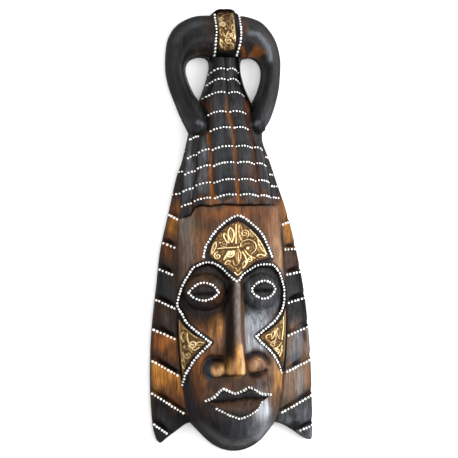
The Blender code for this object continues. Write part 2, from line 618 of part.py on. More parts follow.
def placed(mesh, collection, finish=None):
    """An object for a mesh, in a collection, shaded smooth with sharp edges kept."""
    thing = bpy.data.objects.new(mesh.name, mesh)
    collection.objects.link(thing)
    mesh.shade_smooth()
    mesh.set_sharp_from_angle(angle=np.radians(40))
    if finish:
        mesh.materials.append(finish)
    return thing


def sheet_seat(x, y):
    """The floor of the seat that a sheet is let into, in metres."""
    return wood_front(x, y) * RISE - RECESS_DEPTH


def steepness(x, y):
    """The rise along Z for each metre of thickness across the surface of the wood."""
    near = 0.6
    across = (wood_front(x + near, y) - wood_front(x - near, y)) / (2 * near)
    along = (wood_front(x, y + near) - wood_front(x, y - near)) / (2 * near)
    return np.minimum(np.sqrt(1 + across**2 + along**2), 2.0)


def sheet_with_seat(name, outline, parts, cutters, finish):
    """A sheet of brass, and the cutter that makes its seat in the wood."""

    def underside(x, y):
        return sheet_seat(x, y) + CLEARANCE * steepness(x, y)

    def face_side(x, y):
        return sheet_seat(x, y) + (CLEARANCE + SHEET_THICKNESS) * steepness(x, y)

    def above(x, y):
        return np.full(x.shape, MASK_DEPTH * 1.5)

    spacings = (SHEET_SPACING, SHEET_EDGE_SPACING)
    loop = smooth_run(outline + outline[:1])[:-1]
    placed(carved(name, [loop], spacings, face_side, underside), parts, finish)
    cutter = placed(carved(name + "_seat", [loop], spacings, above, sheet_seat, CLEARANCE), cutters)
    cutter.hide_render = True
    cutter.display_type = "WIRE"
    return cutter


def main():
    """Builds the wood, the seats of the sheets and the sheets."""
    clear_scene()
    parts = new_collection("african_tribal_mask")
    cutters = new_collection("cutters")
    wood = material("carved_wood", (0.045, 0.030, 0.024), 0.42)
    brass = material("embossed_brass", (0.62, 0.42, 0.16), 0.38, 0.9)

    def front(x, y):
        return wood_front(x, y) * RISE

    def back(x, y):
        return wood_back(x, y, front(x, y))

    spacings = (WOOD_SPACING, WOOD_EDGE_SPACING)
    body = placed(carved("mask_body", [WOOD_OUTLINE] + OPENINGS, spacings, front, back), parts, wood)
    thinning = body.modifiers.new("thinning", "DECIMATE")
    thinning.ratio = WOOD_SHARE_KEPT
    for name, outline in SHEETS.items():
        cutter = sheet_with_seat(name, outline, parts, cutters, brass)
        seat = body.modifiers.new(name + "_seat", "BOOLEAN")
        seat.operation = "DIFFERENCE"
        seat.solver = "EXACT"
        seat.object = cutter


main()
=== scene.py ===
"""Dresses the carved mask: fine carved wood, embossed brass sheets, painted dots, light and camera.

The shapes are laid out in carving units, which are millimetres on a mask 500 mm long.
"""

import bmesh
import bpy
import numpy as np
from mathutils import Matrix, Vector
from mathutils.geometry import delaunay_2d_cdt


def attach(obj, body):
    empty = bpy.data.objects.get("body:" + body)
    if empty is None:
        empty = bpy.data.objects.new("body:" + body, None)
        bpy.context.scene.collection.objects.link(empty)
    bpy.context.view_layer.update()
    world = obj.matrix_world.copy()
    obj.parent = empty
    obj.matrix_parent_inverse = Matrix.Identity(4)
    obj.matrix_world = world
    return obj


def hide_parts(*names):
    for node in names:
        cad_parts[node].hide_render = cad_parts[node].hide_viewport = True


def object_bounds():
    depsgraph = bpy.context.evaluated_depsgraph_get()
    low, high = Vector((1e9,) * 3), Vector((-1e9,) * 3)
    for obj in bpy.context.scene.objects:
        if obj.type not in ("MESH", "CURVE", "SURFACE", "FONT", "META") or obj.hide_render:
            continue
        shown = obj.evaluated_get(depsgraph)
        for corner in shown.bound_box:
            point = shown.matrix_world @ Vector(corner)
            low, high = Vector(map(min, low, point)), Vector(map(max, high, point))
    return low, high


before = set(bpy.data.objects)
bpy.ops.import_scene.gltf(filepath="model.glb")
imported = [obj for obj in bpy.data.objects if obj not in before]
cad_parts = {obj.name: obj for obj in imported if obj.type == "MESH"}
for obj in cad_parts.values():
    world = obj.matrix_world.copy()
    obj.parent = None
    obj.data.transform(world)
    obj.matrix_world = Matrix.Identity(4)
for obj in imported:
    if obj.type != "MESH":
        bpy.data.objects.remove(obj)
cad_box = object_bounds()

# Driving dimensions in metres
MASK_LENGTH = 0.500
MASK_DEPTH = 0.060
RIM_WIDTH = 0.014
HOLLOW_DEPTH = 0.021
HOLLOW_SIDE = 0.017
WALL_THICKNESS = 0.009
SHEET_THICKNESS = 0.0016
RECESS_DEPTH = 0.0010
CLEARANCE = 0.0003

# Size of one carving unit across the mask, and of one in its depth of 60 units
UNIT = MASK_LENGTH / 500
RISE = MASK_DEPTH / 60

# Outline of the wood in carving units, clockwise from the crest, one run between each two corners
CREST_RUN = [
    (-13.5, 244.5), (-12, 246.8), (-7, 249.6), (2, 250), (10.5, 249.4), (15.5, 246.3), (17.5, 243.8),
]
RIGHT_HORN_RUN = [
    (17.5, 243.8), (27.5, 243), (44.3, 236.5), (56.6, 222.5), (62.6, 208.6), (65.3, 192), (64.3, 174),
    (62.3, 158), (57.5, 140.5), (51, 124), (42, 111.5),
]
RIGHT_SIDE_RUN = [
    (42, 111.5), (42.4, 99.7), (49.6, 79.1), (56, 58.5), (68.9, 17.3), (78.3, -23.9), (85.4, -65.1),
    (89.6, -106.3), (91.8, -150), (92.2, -209), (91.7, -231),
]
RIGHT_TIP_RUN = [
    (91.7, -231), (90.8, -238.6), (87, -240.2), (78.5, -236), (68.9, -229), (57, -221.5), (47.8, -218.5),
]
CHIN_RUN = [
    (47.8, -218.5), (41.5, -228.3), (30.5, -240), (16.5, -247.6), (2, -250), (-12.5, -247), (-26, -239.2),
    (-39.5, -225.6), (-49, -215),
]
LEFT_TIP_RUN = [
    (-49, -215), (-55.5, -217.6), (-64.4, -223.7), (-74.5, -230.6), (-82.5, -236.6), (-86.5, -234),
]
LEFT_SIDE_RUN = [
    (-86.5, -234), (-90.4, -217), (-92.2, -176), (-90.8, -132), (-87.6, -98), (-82.5, -61),
    (-76.9, -20.3), (-66.8, 20.3), (-56.7, 60.9), (-49.3, 81), (-41.5, 111.5),
]
LEFT_HORN_RUN = [
    (-41.5, 111.5), (-50.2, 130), (-57.6, 149.3), (-62.4, 163), (-65.6, 178), (-66, 194), (-63.2, 216),
    (-55.5, 230.5), (-45, 238.5), (-30.5, 243.8), (-13.5, 244.5),
]

# Openings between the horns and the neck, each from its lower tip round to it again
LEFT_OPENING = [
    (-29.8, 145.5), (-36.6, 156), (-42.6, 171), (-44.6, 184), (-39, 193.5), (-28.5, 197.6), (-19, 195.2),
    (-16.2, 188), (-18.6, 175.8), (-22.8, 163), (-29.8, 145.5),
]
RIGHT_OPENING = [
    (30.3, 141.8), (24.6, 154), (20, 167), (17.4, 181.5), (18.8, 191.8), (28, 196.2), (37.5, 193.2),
    (43, 184), (42.7, 172), (38.3, 157.5), (30.3, 141.8),
]

# Inner side of the ring of horns, from the left foot over both openings to the right foot
HORN_INNER_RUN = [
    (-41.5, 111.5), (-35.5, 107.6), (-27.5, 108.6), (-22.8, 115.5), (-22.6, 127), (-25.6, 138),
    (-29.8, 146.5), (-36.6, 156), (-42.6, 171), (-44.6, 184), (-39, 193.5), (-28.5, 197.6), (-15, 196.4),
    (0, 195.6), (14.5, 195.6), (28, 196.2), (37.5, 193.2), (43, 184), (42.7, 172), (38.3, 157.5),
    (31, 143), (27.4, 133), (26.6, 121), (29.6, 110.5), (36, 107.2), (42, 111.5),
]
HORN_CREST = [(105, 37), (118, 38), (130, 36), (160, 31), (190, 31), (215, 33), (250, 33)]
HORN_CREST_SHARE = 0.60
HORN_RIM = 12.0

# Rim of the face: down its right side, round the chin, up its left side and over under the hair
RIGHT_FACE_RUN = [
    (57.5, 30), (59, 0), (61.8, -57), (63.4, -94), (61.2, -136), (54.2, -190), (47.8, -218.5),
]
LEFT_FACE_RUN = [
    (-49, -215), (-55.6, -188), (-61.2, -133), (-62.4, -92), (-61.8, -58), (-59, -20), (-56.5, 12),
    (-56, 30),
]
FACE_TOP_RUN = [(-56, 30), (-50, 50), (-28, 63), (0, 67), (28, 63), (50, 50), (57.5, 30)]
FACE_PROFILE = [
    (45, 39), (20, 40), (-10, 42), (-45, 43.5), (-75, 39), (-110, 37.5), (-150, 38), (-190, 40.5),
    (-222, 41.5), (-240, 36), (-250, 30),
]
FACE_SHOULDER = 22.0
FACE_BOW = 4.0
FACE_RIM = 21.0
CHIN_RIM = 9.0
MUZZLE_SWELL = 2.2
EDGE_ROUNDING = 4.5
BORDER_BLEND = 0.8

# Hem of the headdress over the forehead
HEM = [
    (-56, 14.5), (-54, 15.8), (-45, 18.8), (-40.5, 26.5), (-35, 29.4), (-23, 28.2), (-10, 30), (5, 28.7),
    (20, 28.5), (40, 28), (57, 27.5),
]

# Bounds of the ropes of hair across the headdress as (Y, X), from the left side to the right
LEFT_HAIR_BOUND = [
    (24.7, -55.5), (42.6, -53.4), (62.7, -50.6), (83.8, -46.7), (107, -42.5), (120, -40), (135, -36),
    (148, -30.8), (161.6, -24.6), (175, -19.7), (188, -17.1), (200, -16),
]
RIGHT_HAIR_BOUND = [
    (36, 49.3), (55, 47.3), (68.7, 45.1), (89, 40.3), (107, 39.5), (120, 37.5), (135, 32), (148, 25.3),
    (161, 19.9), (175, 16.2), (188, 14.9), (200, 15),
]
HAIR_GROOVES = [
    [
        (31, -43.1), (46.5, -41), (64.3, -38.1), (83.1, -36.2), (105.4, -33), (120, -34), (135, -35.5),
        (148, -30.8),
    ],
    [(34.8, -21.8), (77.1, -21.9), (112.7, -23.5), (130, -25.5), (148, -30), (161, -24.4), (200, -15.8)],
    [(34.2, 8), (55.3, 6.5), (89.9, 5.1), (117.7, 3), (135.6, -1.4), (177.8, -0.6), (200, -0.6)],
    [
        (37.1, 33.8), (52.8, 31), (89.8, 28.8), (110, 23.6), (133.5, 22), (148, 25), (161, 19.7),
        (200, 14.8),
    ],
]
HAIR_RIDGE = [(25, 45.5), (80, 45), (110, 43), (130, 40), (150, 36), (175, 31), (188, 29), (200, 27)]
HAIR_EDGE = [(25, 24.5), (107, 24), (122, 19), (148, 11), (200, 10)]
TIER_HEIGHTS = [184, 172, 157, 135, 117, 96, 78, 59, 42]
ROPE_DROPS = [9, 3, 0, 0, 1.5]
ROPE_PEAKS = [0.9, 0.9, 0.45, -0.2, -0.5]
ROPE_ARCHES = [1.1, 1.1, 2.6, 2.6, 1.6]
NECK_ARCH = 1.5
TIER_STEP = 1.9
ROPE_GROOVE_DEPTH = 3.6

# Cuts across the side locks, each from its outer end to its inner end
LEFT_CUTS = [
    ((-67.9, 21.3), (-59, 15.9)), ((-74.8, -10.6), (-62.9, -16)), ((-80, -40.1), (-66.4, -46.4)),
    ((-85.1, -74), (-64.6, -84.1)), ((-88.9, -107.3), (-65.4, -118.2)), ((-91.5, -141.9), (-63, -159.1)),
    ((-93.2, -178), (-57.4, -202)), ((-90.5, -213.6), (-76, -224.6)),
]
RIGHT_CUTS = [
    ((69, 9.3), (61.6, 6.9)), ((76.5, -21.3), (63.5, -21.5)), ((81.9, -47.3), (64.9, -49.8)),
    ((87.2, -76.9), (65.6, -81.7)), ((89.2, -110.3), (64.7, -118.8)), ((91.3, -147.6), (62.2, -159.8)),
    ((92.7, -187.7), (55.9, -205.8)), ((91.8, -222.2), (76.9, -227.7)),
]
CUT_DEPTH = 4.8
CUT_WIDTH = 7.2
LOCK_OUTER_HEIGHT = 14.0
LOCK_INNER_HEIGHT = 22.5

# Edges of the eye hollows, from the root of the nose over the brow and down to the cheek
LEFT_HOLLOW = [
    (3.6, -57), (-5.6, -48), (-13.3, -40.2), (-20.8, -35.5), (-30, -33.8), (-39.4, -36.6), (-45.5, -41),
    (-51, -50), (-56, -60), (-59.2, -71), (-60.8, -82), (-56, -92.5), (-51, -102), (-41.5, -111),
    (-26, -123), (-13, -118), (-8, -85), (0, -66),
]
RIGHT_HOLLOW = [
    (5, -56), (11, -48.9), (19.3, -43.3), (27.4, -39), (36.2, -37.6), (46, -39.6), (54, -48.1), (58, -57),
    (60.4, -70), (59.8, -83), (55.7, -92.3), (48, -100.8), (40, -107.5), (25.5, -118.7), (15, -115),
    (11, -85), (7, -66),
]
HOLLOW_SINK = 8.5
LEFT_EYE = (-30.5, -67.5, 24, 21.5)
RIGHT_EYE = (32.8, -68.8, 21.5, 21)
EYE_SWELL = 10.0
LEFT_LIDS = (-49.3, -16.6, -68.2, -56.7, -76.7)
RIGHT_LIDS = (20.5, 49, -66.4, -56.4, -76.6)
LID_SINK = 1.5
SLIT_DEPTH = 2.6
SLIT_WIDTH = 1.7
SLIT_DROP = 1.5

# Line of the cheeks, where the middle of the face stands over its sides
LEFT_CHEEK_LINE = [
    (-26.5, -124), (-33.7, -131.2), (-42.7, -140.5), (-49.4, -150.5), (-55, -162.5), (-57.6, -174),
]
RIGHT_CHEEK_LINE = [
    (25.5, -119.2), (32.1, -126.6), (38.8, -133.2), (45.7, -141.4), (51.8, -151.5), (55.2, -162),
]
CHEEK_STEP = 2.2

# Nose, as heights along it and bulbs beside it
NOSE_LINE = [(-163, 0), (-142, 0.8), (-110, 1.8), (-77, 2.4), (-57, 4.4), (-45, 5)]
NOSE_RIDGE = [(-163, 60.5), (-150, 60.9), (-142, 60), (-110, 54), (-77, 49), (-60, 45.5), (-45, 43.5)]
NOSE_FLAT = [(-163, 8.2), (-150, 7.2), (-135, 5.2), (-110, 3.8), (-57, 3)]
NOSE_FLANK = [(-163, 6.5), (-110, 7.5), (-57, 6)]
NOSE_BOW = 0.05
NOSE_END = -159.5
LEFT_WING = (-20.5, -153, 14, 10.5)
RIGHT_WING = (23, -150.5, 13, 10)
WING_HEIGHT = 48.0
LEFT_WING_CREASE = [(-35.5, -161.5), (-36.5, -153), (-33, -145), (-25.5, -140.5), (-15, -141)]
RIGHT_WING_CREASE = [(13.5, -141), (20, -138), (28, -138), (34.5, -142), (37.5, -149)]
RIGHT_NOSTRIL_CREASE = [(18, -160.5), (26, -161.5), (34, -158)]
WING_CREASES = [LEFT_WING_CREASE, RIGHT_WING_CREASE, RIGHT_NOSTRIL_CREASE]
CREASE_DEPTH = 3.4
CREASE_WIDTH = 2.9

# Mouth
UPPER_LIP = [
    (-34, -188.4), (-24.4, -183.3), (-15.9, -175.9), (-10.4, -176.6), (-2.2, -180.6), (6.5, -178.8),
    (14.7, -174.7), (22, -177.5), (28.9, -182.5), (39, -184.6),
]
MOUTH_LINE = [(-34, -188.4), (-20, -190), (-4, -189), (12, -187.4), (27, -188), (39, -184.6)]
LOWER_LIP = [
    (-34, -188.4), (-27.5, -193.2), (-22.5, -196.9), (-12.7, -202.6), (-2, -207.3), (5.1, -208.6),
    (17.5, -203.9), (25, -198), (30.5, -190.5), (39, -184.6),
]
LIP_SWELL = 5.0
MOUTH_DEPTH = 1.5
MOUTH_WIDTH = 1.5

# Sheets of embossed brass let into the wood
FOREHEAD_SHEET = [
    (7.7, 11), (-0.5, 8.6), (-8.5, 3.6), (-16, -3.4), (-22, -11.8), (-25.6, -20.5), (-25.6, -27.8),
    (-12.6, -36.6), (-1.2, -46.6), (4.8, -51.4), (13.8, -43.8), (25.6, -34.9), (40.6, -31), (38.2, -23),
    (33, -12.6), (26.2, -3.2), (17, 5.4),
]
LEFT_CHEEK_SHEET = [
    (-61, -95), (-54.5, -105), (-45, -114.2), (-31, -123), (-38.3, -130.6), (-46.2, -139), (-52.4, -149),
    (-56, -158.5), (-57.4, -165), (-59, -150), (-60.4, -130), (-61.1, -112),
]
RIGHT_CHEEK_SHEET = [
    (62, -86.5), (57.4, -97.8), (49.8, -105.4), (40, -112.4), (29.6, -119.2), (36.2, -126.4),
    (43.2, -133.4), (50.6, -142.4), (57.8, -155.5), (61.2, -124), (62.3, -100),
]
CREST_SHEET = [
    (-6, 248.2), (1.6, 249), (10.2, 248), (11.6, 243), (11.3, 224), (10.4, 206), (8, 202.4), (0.5, 201.4),
    (-7, 202.6), (-9.2, 206), (-8.9, 224), (-8.5, 243),
]
BAND_LEFT = [(195, -12.5), (215, -12.5), (235, -11.4), (250, -12.6)]
BAND_RIGHT = [(195, 14), (215, 18.3), (235, 19.9), (250, 18.8)]
BAND_RISE = 2.5
SHEETS = {
    "crest_band": CREST_SHEET,
    "forehead_plate": FOREHEAD_SHEET,
    "left_cheek_plate": LEFT_CHEEK_SHEET,
    "right_cheek_plate": RIGHT_CHEEK_SHEET,
}

# Fineness of the dressed pieces, in carving units
FINE_SPACING = 1.05
BACK_SPACING = 3.2
RIM_SPACING = 1.15
WALL_ROWS = 5
SHEET_FINE_SPACING = 0.42

# Tones of the stains and patinas, and of the painted shade, sheen, glint and highlights, as 8-bit shades
TONES = {
    "charcoal": (31, 31, 33),
    "soot_and_shade": (13, 12, 13),
    "slate_and_sheen": (54, 57, 62),
    "blue_glint": (44, 62, 76),
    "grey_sheen": (104, 109, 117),
    "pale_sheen": (148, 156, 166),
    "bright_sheen": (186, 192, 200),
    "umber": (44, 32, 22),
    "rust": (82, 48, 26),
    "brown": (80, 57, 40),
    "clay": (122, 92, 70),
    "putty": (114, 101, 90),
    "orange": (130, 78, 32),
    "honey": (154, 104, 42),
    "gold": (192, 140, 76),
    "cream_highlight": (206, 168, 122),
    "plum": (30, 25, 31),
    "sawn": (84, 60, 42),
}

# Patches on the face, of stain and of painted sheen on the right cheek, the right and left edges of the brow
# and the chin: X, Y, half width, half height, tone and strength
FACE_PATCHES = [
    (0, 0, 80, 60, "brown", 1),
    (-6, 21, 36, 7, "orange", 0.75),
    (-14, 10, 18, 10, "rust", 0.5),
    (30, 12, 22, 22, "rust", 0.45),
    (50, -5, 8, 34, "clay", 0.75),
    (46, 12, 10, 14, "orange", 0.4),
    (-50, -2, 7, 36, "putty", 0.8),
    (-52, 2, 4, 26, "grey_sheen", 0.35),
    (-36, -9, 7, 20, "orange", 0.5),
    (-44, -6, 7, 30, "putty", 0.4),
    (-30, 14, 14, 11, "umber", 0.55),
    (-60, -30, 5, 30, "brown", 0.8),
    (57, -36, 5, 22, "clay", 0.9),
    (55, -30, 4, 20, "cream_highlight", 0.35),
    (-61, -70, 5, 40, "umber", 0.8),
    (61, -70, 5, 40, "putty", 0.5),
    (0, -225, 75, 32, "charcoal", 1),
    (-20, -107, 14, 24, "orange", 0.85),
    (-17, -98, 6, 14, "gold", 0.75),
    (-26, -114, 8, 9, "honey", 0.75),
    (-30, -104, 4, 12, "umber", 0.5),
    (-22, -110, 2.5, 12, "umber", 0.7),
    (-30, -92, 12, 9, "umber", 0.8),
    (-18, -124, 12, 7, "putty", 0.25),
    (-34, -104, 4, 8, "rust", 0.7),
    (28, -104, 20, 26, "pale_sheen", 0.9),
    (36, -120, 13, 14, "pale_sheen", 0.8),
    (22, -124, 8, 9, "bright_sheen", 0.5),
    (14, -84, 7, 12, "putty", 0.5),
    (-42, -158, 11, 24, "orange", 0.65),
    (-54, -188, 10, 36, "plum", 1),
    (-44, -206, 9, 20, "plum", 0.8),
    (50, -166, 8, 24, "gold", 0.8),
    (42, -152, 9, 14, "clay", 0.7),
    (47, -192, 7, 14, "brown", 0.85),
    (0, -169, 36, 8, "umber", 0.7),
    (-10, -171, 8, 6, "rust", 0.5),
    (28, -168, 14, 6, "rust", 0.6),
    (-27, -171, 13, 7, "umber", 0.9),
    (-36, -170, 5, 10, "rust", 0.6),
    (30, -206, 8, 22, "bright_sheen", 0.95),
    (26, -222, 14, 16, "grey_sheen", 0.8),
    (8, -226, 18, 14, "slate_and_sheen", 0.6),
    (-30, -215, 20, 26, "soot_and_shade", 0.7),
    (0, -246, 50, 9, "soot_and_shade", 0.9),
]

# Patches on the nose and its wings: stain, painted highlights on its tip and wings, and painted shadow under
# the left wing and the tip
NOSE_PATCHES = [
    (3, -90, 6, 60, "putty", 0.85),
    (10, -112, 5, 40, "rust", 0.75),
    (11, -80, 4, 26, "umber", 0.8),
    (0, -148, 11, 22, "honey", 0.85),
    (3, -142, 4, 16, "gold", 0.6),
    (-4.5, -151, 4, 9, "cream_highlight", 0.4),
    (7.5, -151, 3, 8, "cream_highlight", 0.4),
    (9.5, -132, 4, 18, "rust", 0.8),
    (-20.5, -155.5, 10, 6.5, "gold", 1),
    (-19, -155.5, 9, 5.5, "cream_highlight", 0.8),
    (-19, -166, 13, 4.6, "umber", 1),
    (-30, -147, 5, 8, "slate_and_sheen", 0.5),
    (25, -150, 11, 8, "clay", 0.9),
    (22, -149, 9, 5.5, "cream_highlight", 0.3),
    (2, -163.5, 15, 3.2, "soot_and_shade", 1),
]

# Strokes along the nose, of stain, of painted highlight on its ridge and tip, and of painted shade beside the
# tip, under the left wing and in the right nostril: line, half width, tone and strength
NOSE_SHEENS = [
    ([(8, -64), (8.4, -96), (7.8, -124)], 2.8, "brown", 0.6),
    ([(11.2, -84), (10.6, -118), (11.2, -140), (12, -152)], 1.5, "rust", 0.85),
    ([(4.7, -60), (3.8, -96), (3.3, -126)], 1.7, "pale_sheen", 0.35),
    ([(4.4, -128), (5.8, -146), (6.4, -160)], 2.2, "cream_highlight", 0.9),
    ([(-11.6, -148), (-12.2, -162)], 1.5, "umber", 0.85),
    ([(-30, -161.8), (-22, -163), (-13, -162.4)], 3.2, "umber", 0.95),
    ([(26, -159.5), (31, -158.5), (36, -157)], 1.8, "umber", 0.8),
]

# Groove round the left wing, darkened with painted shade, and the left flank of the nose, darkened with
# painted shade
LEFT_WING_RING = [(-29.8, -161), (-32, -153), (-29.8, -146), (-24.5, -142.5), (-15, -142.5)]
NOSE_SHADE_OFFSET = 7.9
NOSE_SHADE_WIDTH = 5.6

# Patches in the eye hollows, on the headdress and in its grooves: stain, painted sheen on the right eye and
# on the crests of the ropes, and painted shade low on the left eye
EYE_PATCHES = [
    (-30, -58, 20, 14, "umber", 0.8),
    (-38, -60, 12, 12, "brown", 0.55),
    (-14, -76, 10, 14, "rust", 0.5),
    (-24, -86, 18, 8, "plum", 0.7),
    (32, -58, 20, 12, "umber", 0.6),
    (32, -60, 20, 14, "slate_and_sheen", 0.65),
    (17, -64, 5, 10, "grey_sheen", 0.45),
    (30, -75, 12, 5, "grey_sheen", 0.5),
    (40, -86, 14, 8, "grey_sheen", 0.45),
    (48, -72, 8, 16, "slate_and_sheen", 0.7),
    (20, -84, 10, 10, "slate_and_sheen", 0.7),
]
HAIR_PATCHES = [
    (-12, 125, 4.5, 22, "slate_and_sheen", 0.9),
    (-13, 76, 6.5, 34, "slate_and_sheen", 0.9),
    (-31, 72, 4.5, 30, "grey_sheen", 0.6),
    (-45, 66, 4, 30, "grey_sheen", 0.6),
    (16, 66, 7, 24, "slate_and_sheen", 0.5),
    (0, 34, 60, 6, "umber", 0.9),
    (-14, 33, 13, 3.5, "clay", 0.8),
    (-34, 33, 8, 4, "rust", 0.7),
    (14, 33, 12, 3.2, "rust", 0.9),
    (38, 33, 9, 4, "brown", 0.8),
    (24, 62, 7, 12, "rust", 0.5),
    (-24, 62, 6, 10, "rust", 0.5),
    (-22, 140, 6, 8, "rust", 0.6),
    (24, 140, 6, 12, "rust", 0.6),
    (-26, 122, 7, 12, "umber", 0.7),
]
GROOVE_TONES = [("umber", 0.6), ("orange", 0.95), ("orange", 0.95), ("rust", 0.8)]

# Wander of the stains across and along: reach, stretch along X and Y, wave length and seed
STAIN_WANDER = [(2.2, 1.0, 0.5, 17, 21), (6.0, 1.4, 0.5, 19, 22)]

# Half widths of the soot, the stain, the painted shade and the painted glint that follow the carving
SEAM_SHADE_WIDTH = 1.5
SLIT_SOOT_WIDTH = 1.8
WING_RING_WIDTH = 4.1
WING_GLINT_WIDTH = 2.4
CREASE_SHADE_WIDTH = 3.2
MOUTH_SHADE_WIDTH = 1.3
HEM_SHADE_WIDTH = 1.6
FOOT_SHADE_WIDTH = 1.7
GROOVE_STAIN_WIDTH = 1.9

# Levels where the stains of the locks begin and end
LOCKS_TOP = 75.0
LOCKS_END = -262.0

# Stain of each lock from the headdress down, at its upper end and at its lower end; the grey tones low on the
# right locks are painted sheen
LEFT_LOCKS = [
    ("charcoal", "umber"), ("honey", "orange"), ("rust", "umber"), ("charcoal", "charcoal"),
    ("umber", "umber"), ("orange", "rust"), ("honey", "orange"), ("soot_and_shade", "charcoal"),
    ("charcoal", "umber"),
]
RIGHT_LOCKS = [
    ("rust", "orange"), ("honey", "honey"), ("umber", "rust"), ("soot_and_shade", "charcoal"), ("soot_and_shade", "charcoal"),
    ("putty", "grey_sheen"), ("putty", "putty"), ("slate_and_sheen", "grey_sheen"), ("grey_sheen", "slate_and_sheen"),
]

# Patches on the locks: stain, and painted sheen in grey
LOCK_PATCHES = [
    (-58, 30, 10, 12, "orange", 0.6),
    (-74, -94, 5, 7, "slate_and_sheen", 0.6),
    (-84, -100, 10, 14, "umber", 0.6),
    (-88, -165, 5, 20, "gold", 0.25),
    (-66, -178, 6, 16, "rust", 0.6),
    (-70, -132, 8, 8, "umber", 0.6),
    (62, 10, 8, 14, "honey", 0.5),
    (72, -112, 4, 10, "clay", 0.7),
    (86, -136, 6, 10, "clay", 0.7),
    (77, -126, 5, 12, "grey_sheen", 0.8),
    (84, -120, 4.5, 7, "umber", 0.8),
    (84, -152, 5, 8, "clay", 0.8),
    (52, 48, 5, 16, "soot_and_shade", 0.8),
    (88, -172, 4.5, 14, "orange", 0.6),
    (66, -176, 6, 20, "clay", 0.6),
    (76, -172, 6, 20, "pale_sheen", 0.15),
    (70, -226, 20, 5, "soot_and_shade", 0.8),
    (60, -10, 3, 16, "umber", 0.7),
    (-60, -40, 6, 60, "umber", 0.7),
]

# Strokes of painted sheen and highlight on the horns, and patches of stain on them
HORN_SHEENS = [
    ([(27, 222), (36, 220), (43, 214), (48, 205), (50, 192)], 3.4, "grey_sheen", 0.75),
    ([(-55, 214), (-49, 223), (-38, 230), (-26, 233)], 4, "slate_and_sheen", 0.7),
    ([(-57, 142), (-52, 130), (-47, 122)], 5, "slate_and_sheen", 0.9),
    ([(-34, 122), (-31, 120)], 2.4, "grey_sheen", 0.9),
    ([(52, 140), (47, 128), (43, 120)], 3.5, "slate_and_sheen", 0.7),
    ([(33, 121), (31, 119)], 2.2, "grey_sheen", 0.8),
]
HORN_STAINS = [
    (28, 199, 12, 5, "orange", 0.9),
    (-18, 232, 6, 14, "umber", 0.8),
    (22, 232, 5, 12, "rust", 0.6),
    (-26, 201, 10, 4, "umber", 0.7),
    (58, 225, 12, 14, "umber", 0.4),
    (-46, 205, 5, 14, "soot_and_shade", 0.8),
    (-44, 160, 6, 30, "soot_and_shade", 0.8),
]

# Ornament of the forehead sheet: scrolls as middle, radius, turns, start and hand, leaves as two ends and
# half width, ribs as lines, and balls as middle and radius
FOREHEAD_SCROLLS = [
    (13.9, -3.2, 5, 1.5, -60, 1), (-3.5, -25.2, 4.6, 1.6, 40, -1), (-9.8, -13.6, 4.2, 1.4, 200, 1),
    (31, -20.6, 4.8, 1.5, 120, -1), (-17.5, -27.5, 4.4, 1.3, 90, 1), (18.6, -31.8, 3.4, 1.4, 180, 1),
    (22.4, -3.6, 3.6, 1.2, 0, -1), (-14.5, -4.8, 3.2, 1.2, 120, -1),
]
FOREHEAD_LEAVES = [
    (-2.1, 3.6, -1, -12.6, 3.2), (-9.2, -2.4, -4.6, -13.2, 2.2), (5.8, -20.8, 5.6, -36.4, 2.8),
    (13.2, -33.8, 11, -41.6, 1.9), (1.4, -22.8, -10.6, -31.6, 2.6), (8.6, 6.8, 9.6, -10.8, 1.8),
    (-19, -12, -24, -25, 2), (28.8, -9.4, 35.6, -24.8, 2), (27, -28.6, 36.6, -28.8, 1.7),
    (-3.6, -33.4, -9.8, -37, 1.7),
]
FOREHEAD_RIBS = [
    [
        (8.6, -17.6), (9.4, -14), (12.6, -11.6), (17.1, -10.2), (22.7, -11.6), (26.2, -16.4),
        (25.5, -21.9), (20.6, -26.4),
    ],
    [(10, -17.8), (13.4, -15), (18, -14.4)],
    [(-21.8, -16.8), (-21.2, -23), (-17.2, -30)],
    [(-16.9, -19.2), (-8, -18.6), (2.6, -18.4)],
    [(3.6, -14), (4.4, 7.2)],
    [(6.9, -13.2), (7.1, 8.4)],
    [(13, -21.8), (17.2, -27), (24, -31)],
    [(10.4, -23.6), (13.6, -29), (15.6, -36)],
    [(-0.8, -32.6), (0.6, -37), (2.8, -38.4), (5, -37.2), (6.4, -33)],
    [(-5.6, -36.4), (-0.6, -41)],
    [(19.6, 1), (27, -6.6), (33.6, -17), (37.4, -26)],
    [(1, -46.4), (4.8, -49.4), (9, -46)],
    [(2.2, -41.4), (4.8, -45.6), (7.6, -41.6)],
]
FOREHEAD_BALLS = [
    (31.4, -13.2, 1.7), (37, -26.6, 1.8), (5.4, -18.3, 2.2), (-14.2, -12.6, 1.5), (16.6, -19.6, 2.6),
]

# Ornament of the cheek sheets
LEFT_CHEEK_SCROLLS = [
    (-53, -138.3, 3.8, 1.4, 60, -1), (-46.6, -125, 4.6, 1.3, 200, 1), (-55.2, -107, 2.4, 1.2, 90, 1),
]
LEFT_CHEEK_LEAVES = [
    (-56, -111.8, -56.2, -122.6, 2.2), (-42.8, -125.4, -34.6, -124, 2), (-57.6, -143, -55.8, -152.6, 1.7),
    (-48.8, -112.4, -42, -118, 1.8),
]
LEFT_CHEEK_RIBS = [
    [(-59.8, -98), (-59.6, -118), (-58.8, -136), (-57.6, -154), (-57.2, -161)],
    [(-52, -113), (-51.6, -121), (-46, -131.6), (-39.4, -129)],
    [(-51, -129), (-47.4, -134.4)],
    [(-57, -129.8), (-51.8, -131.2)],
    [(-57, -134), (-55.6, -145.6)],
    [(-56.8, -103), (-51, -110), (-44, -116.4)],
]
LEFT_CHEEK_BALLS = [(-55.2, -128, 1.8), (-58, -99.6, 1.3), (-57.2, -158.6, 1.1)]
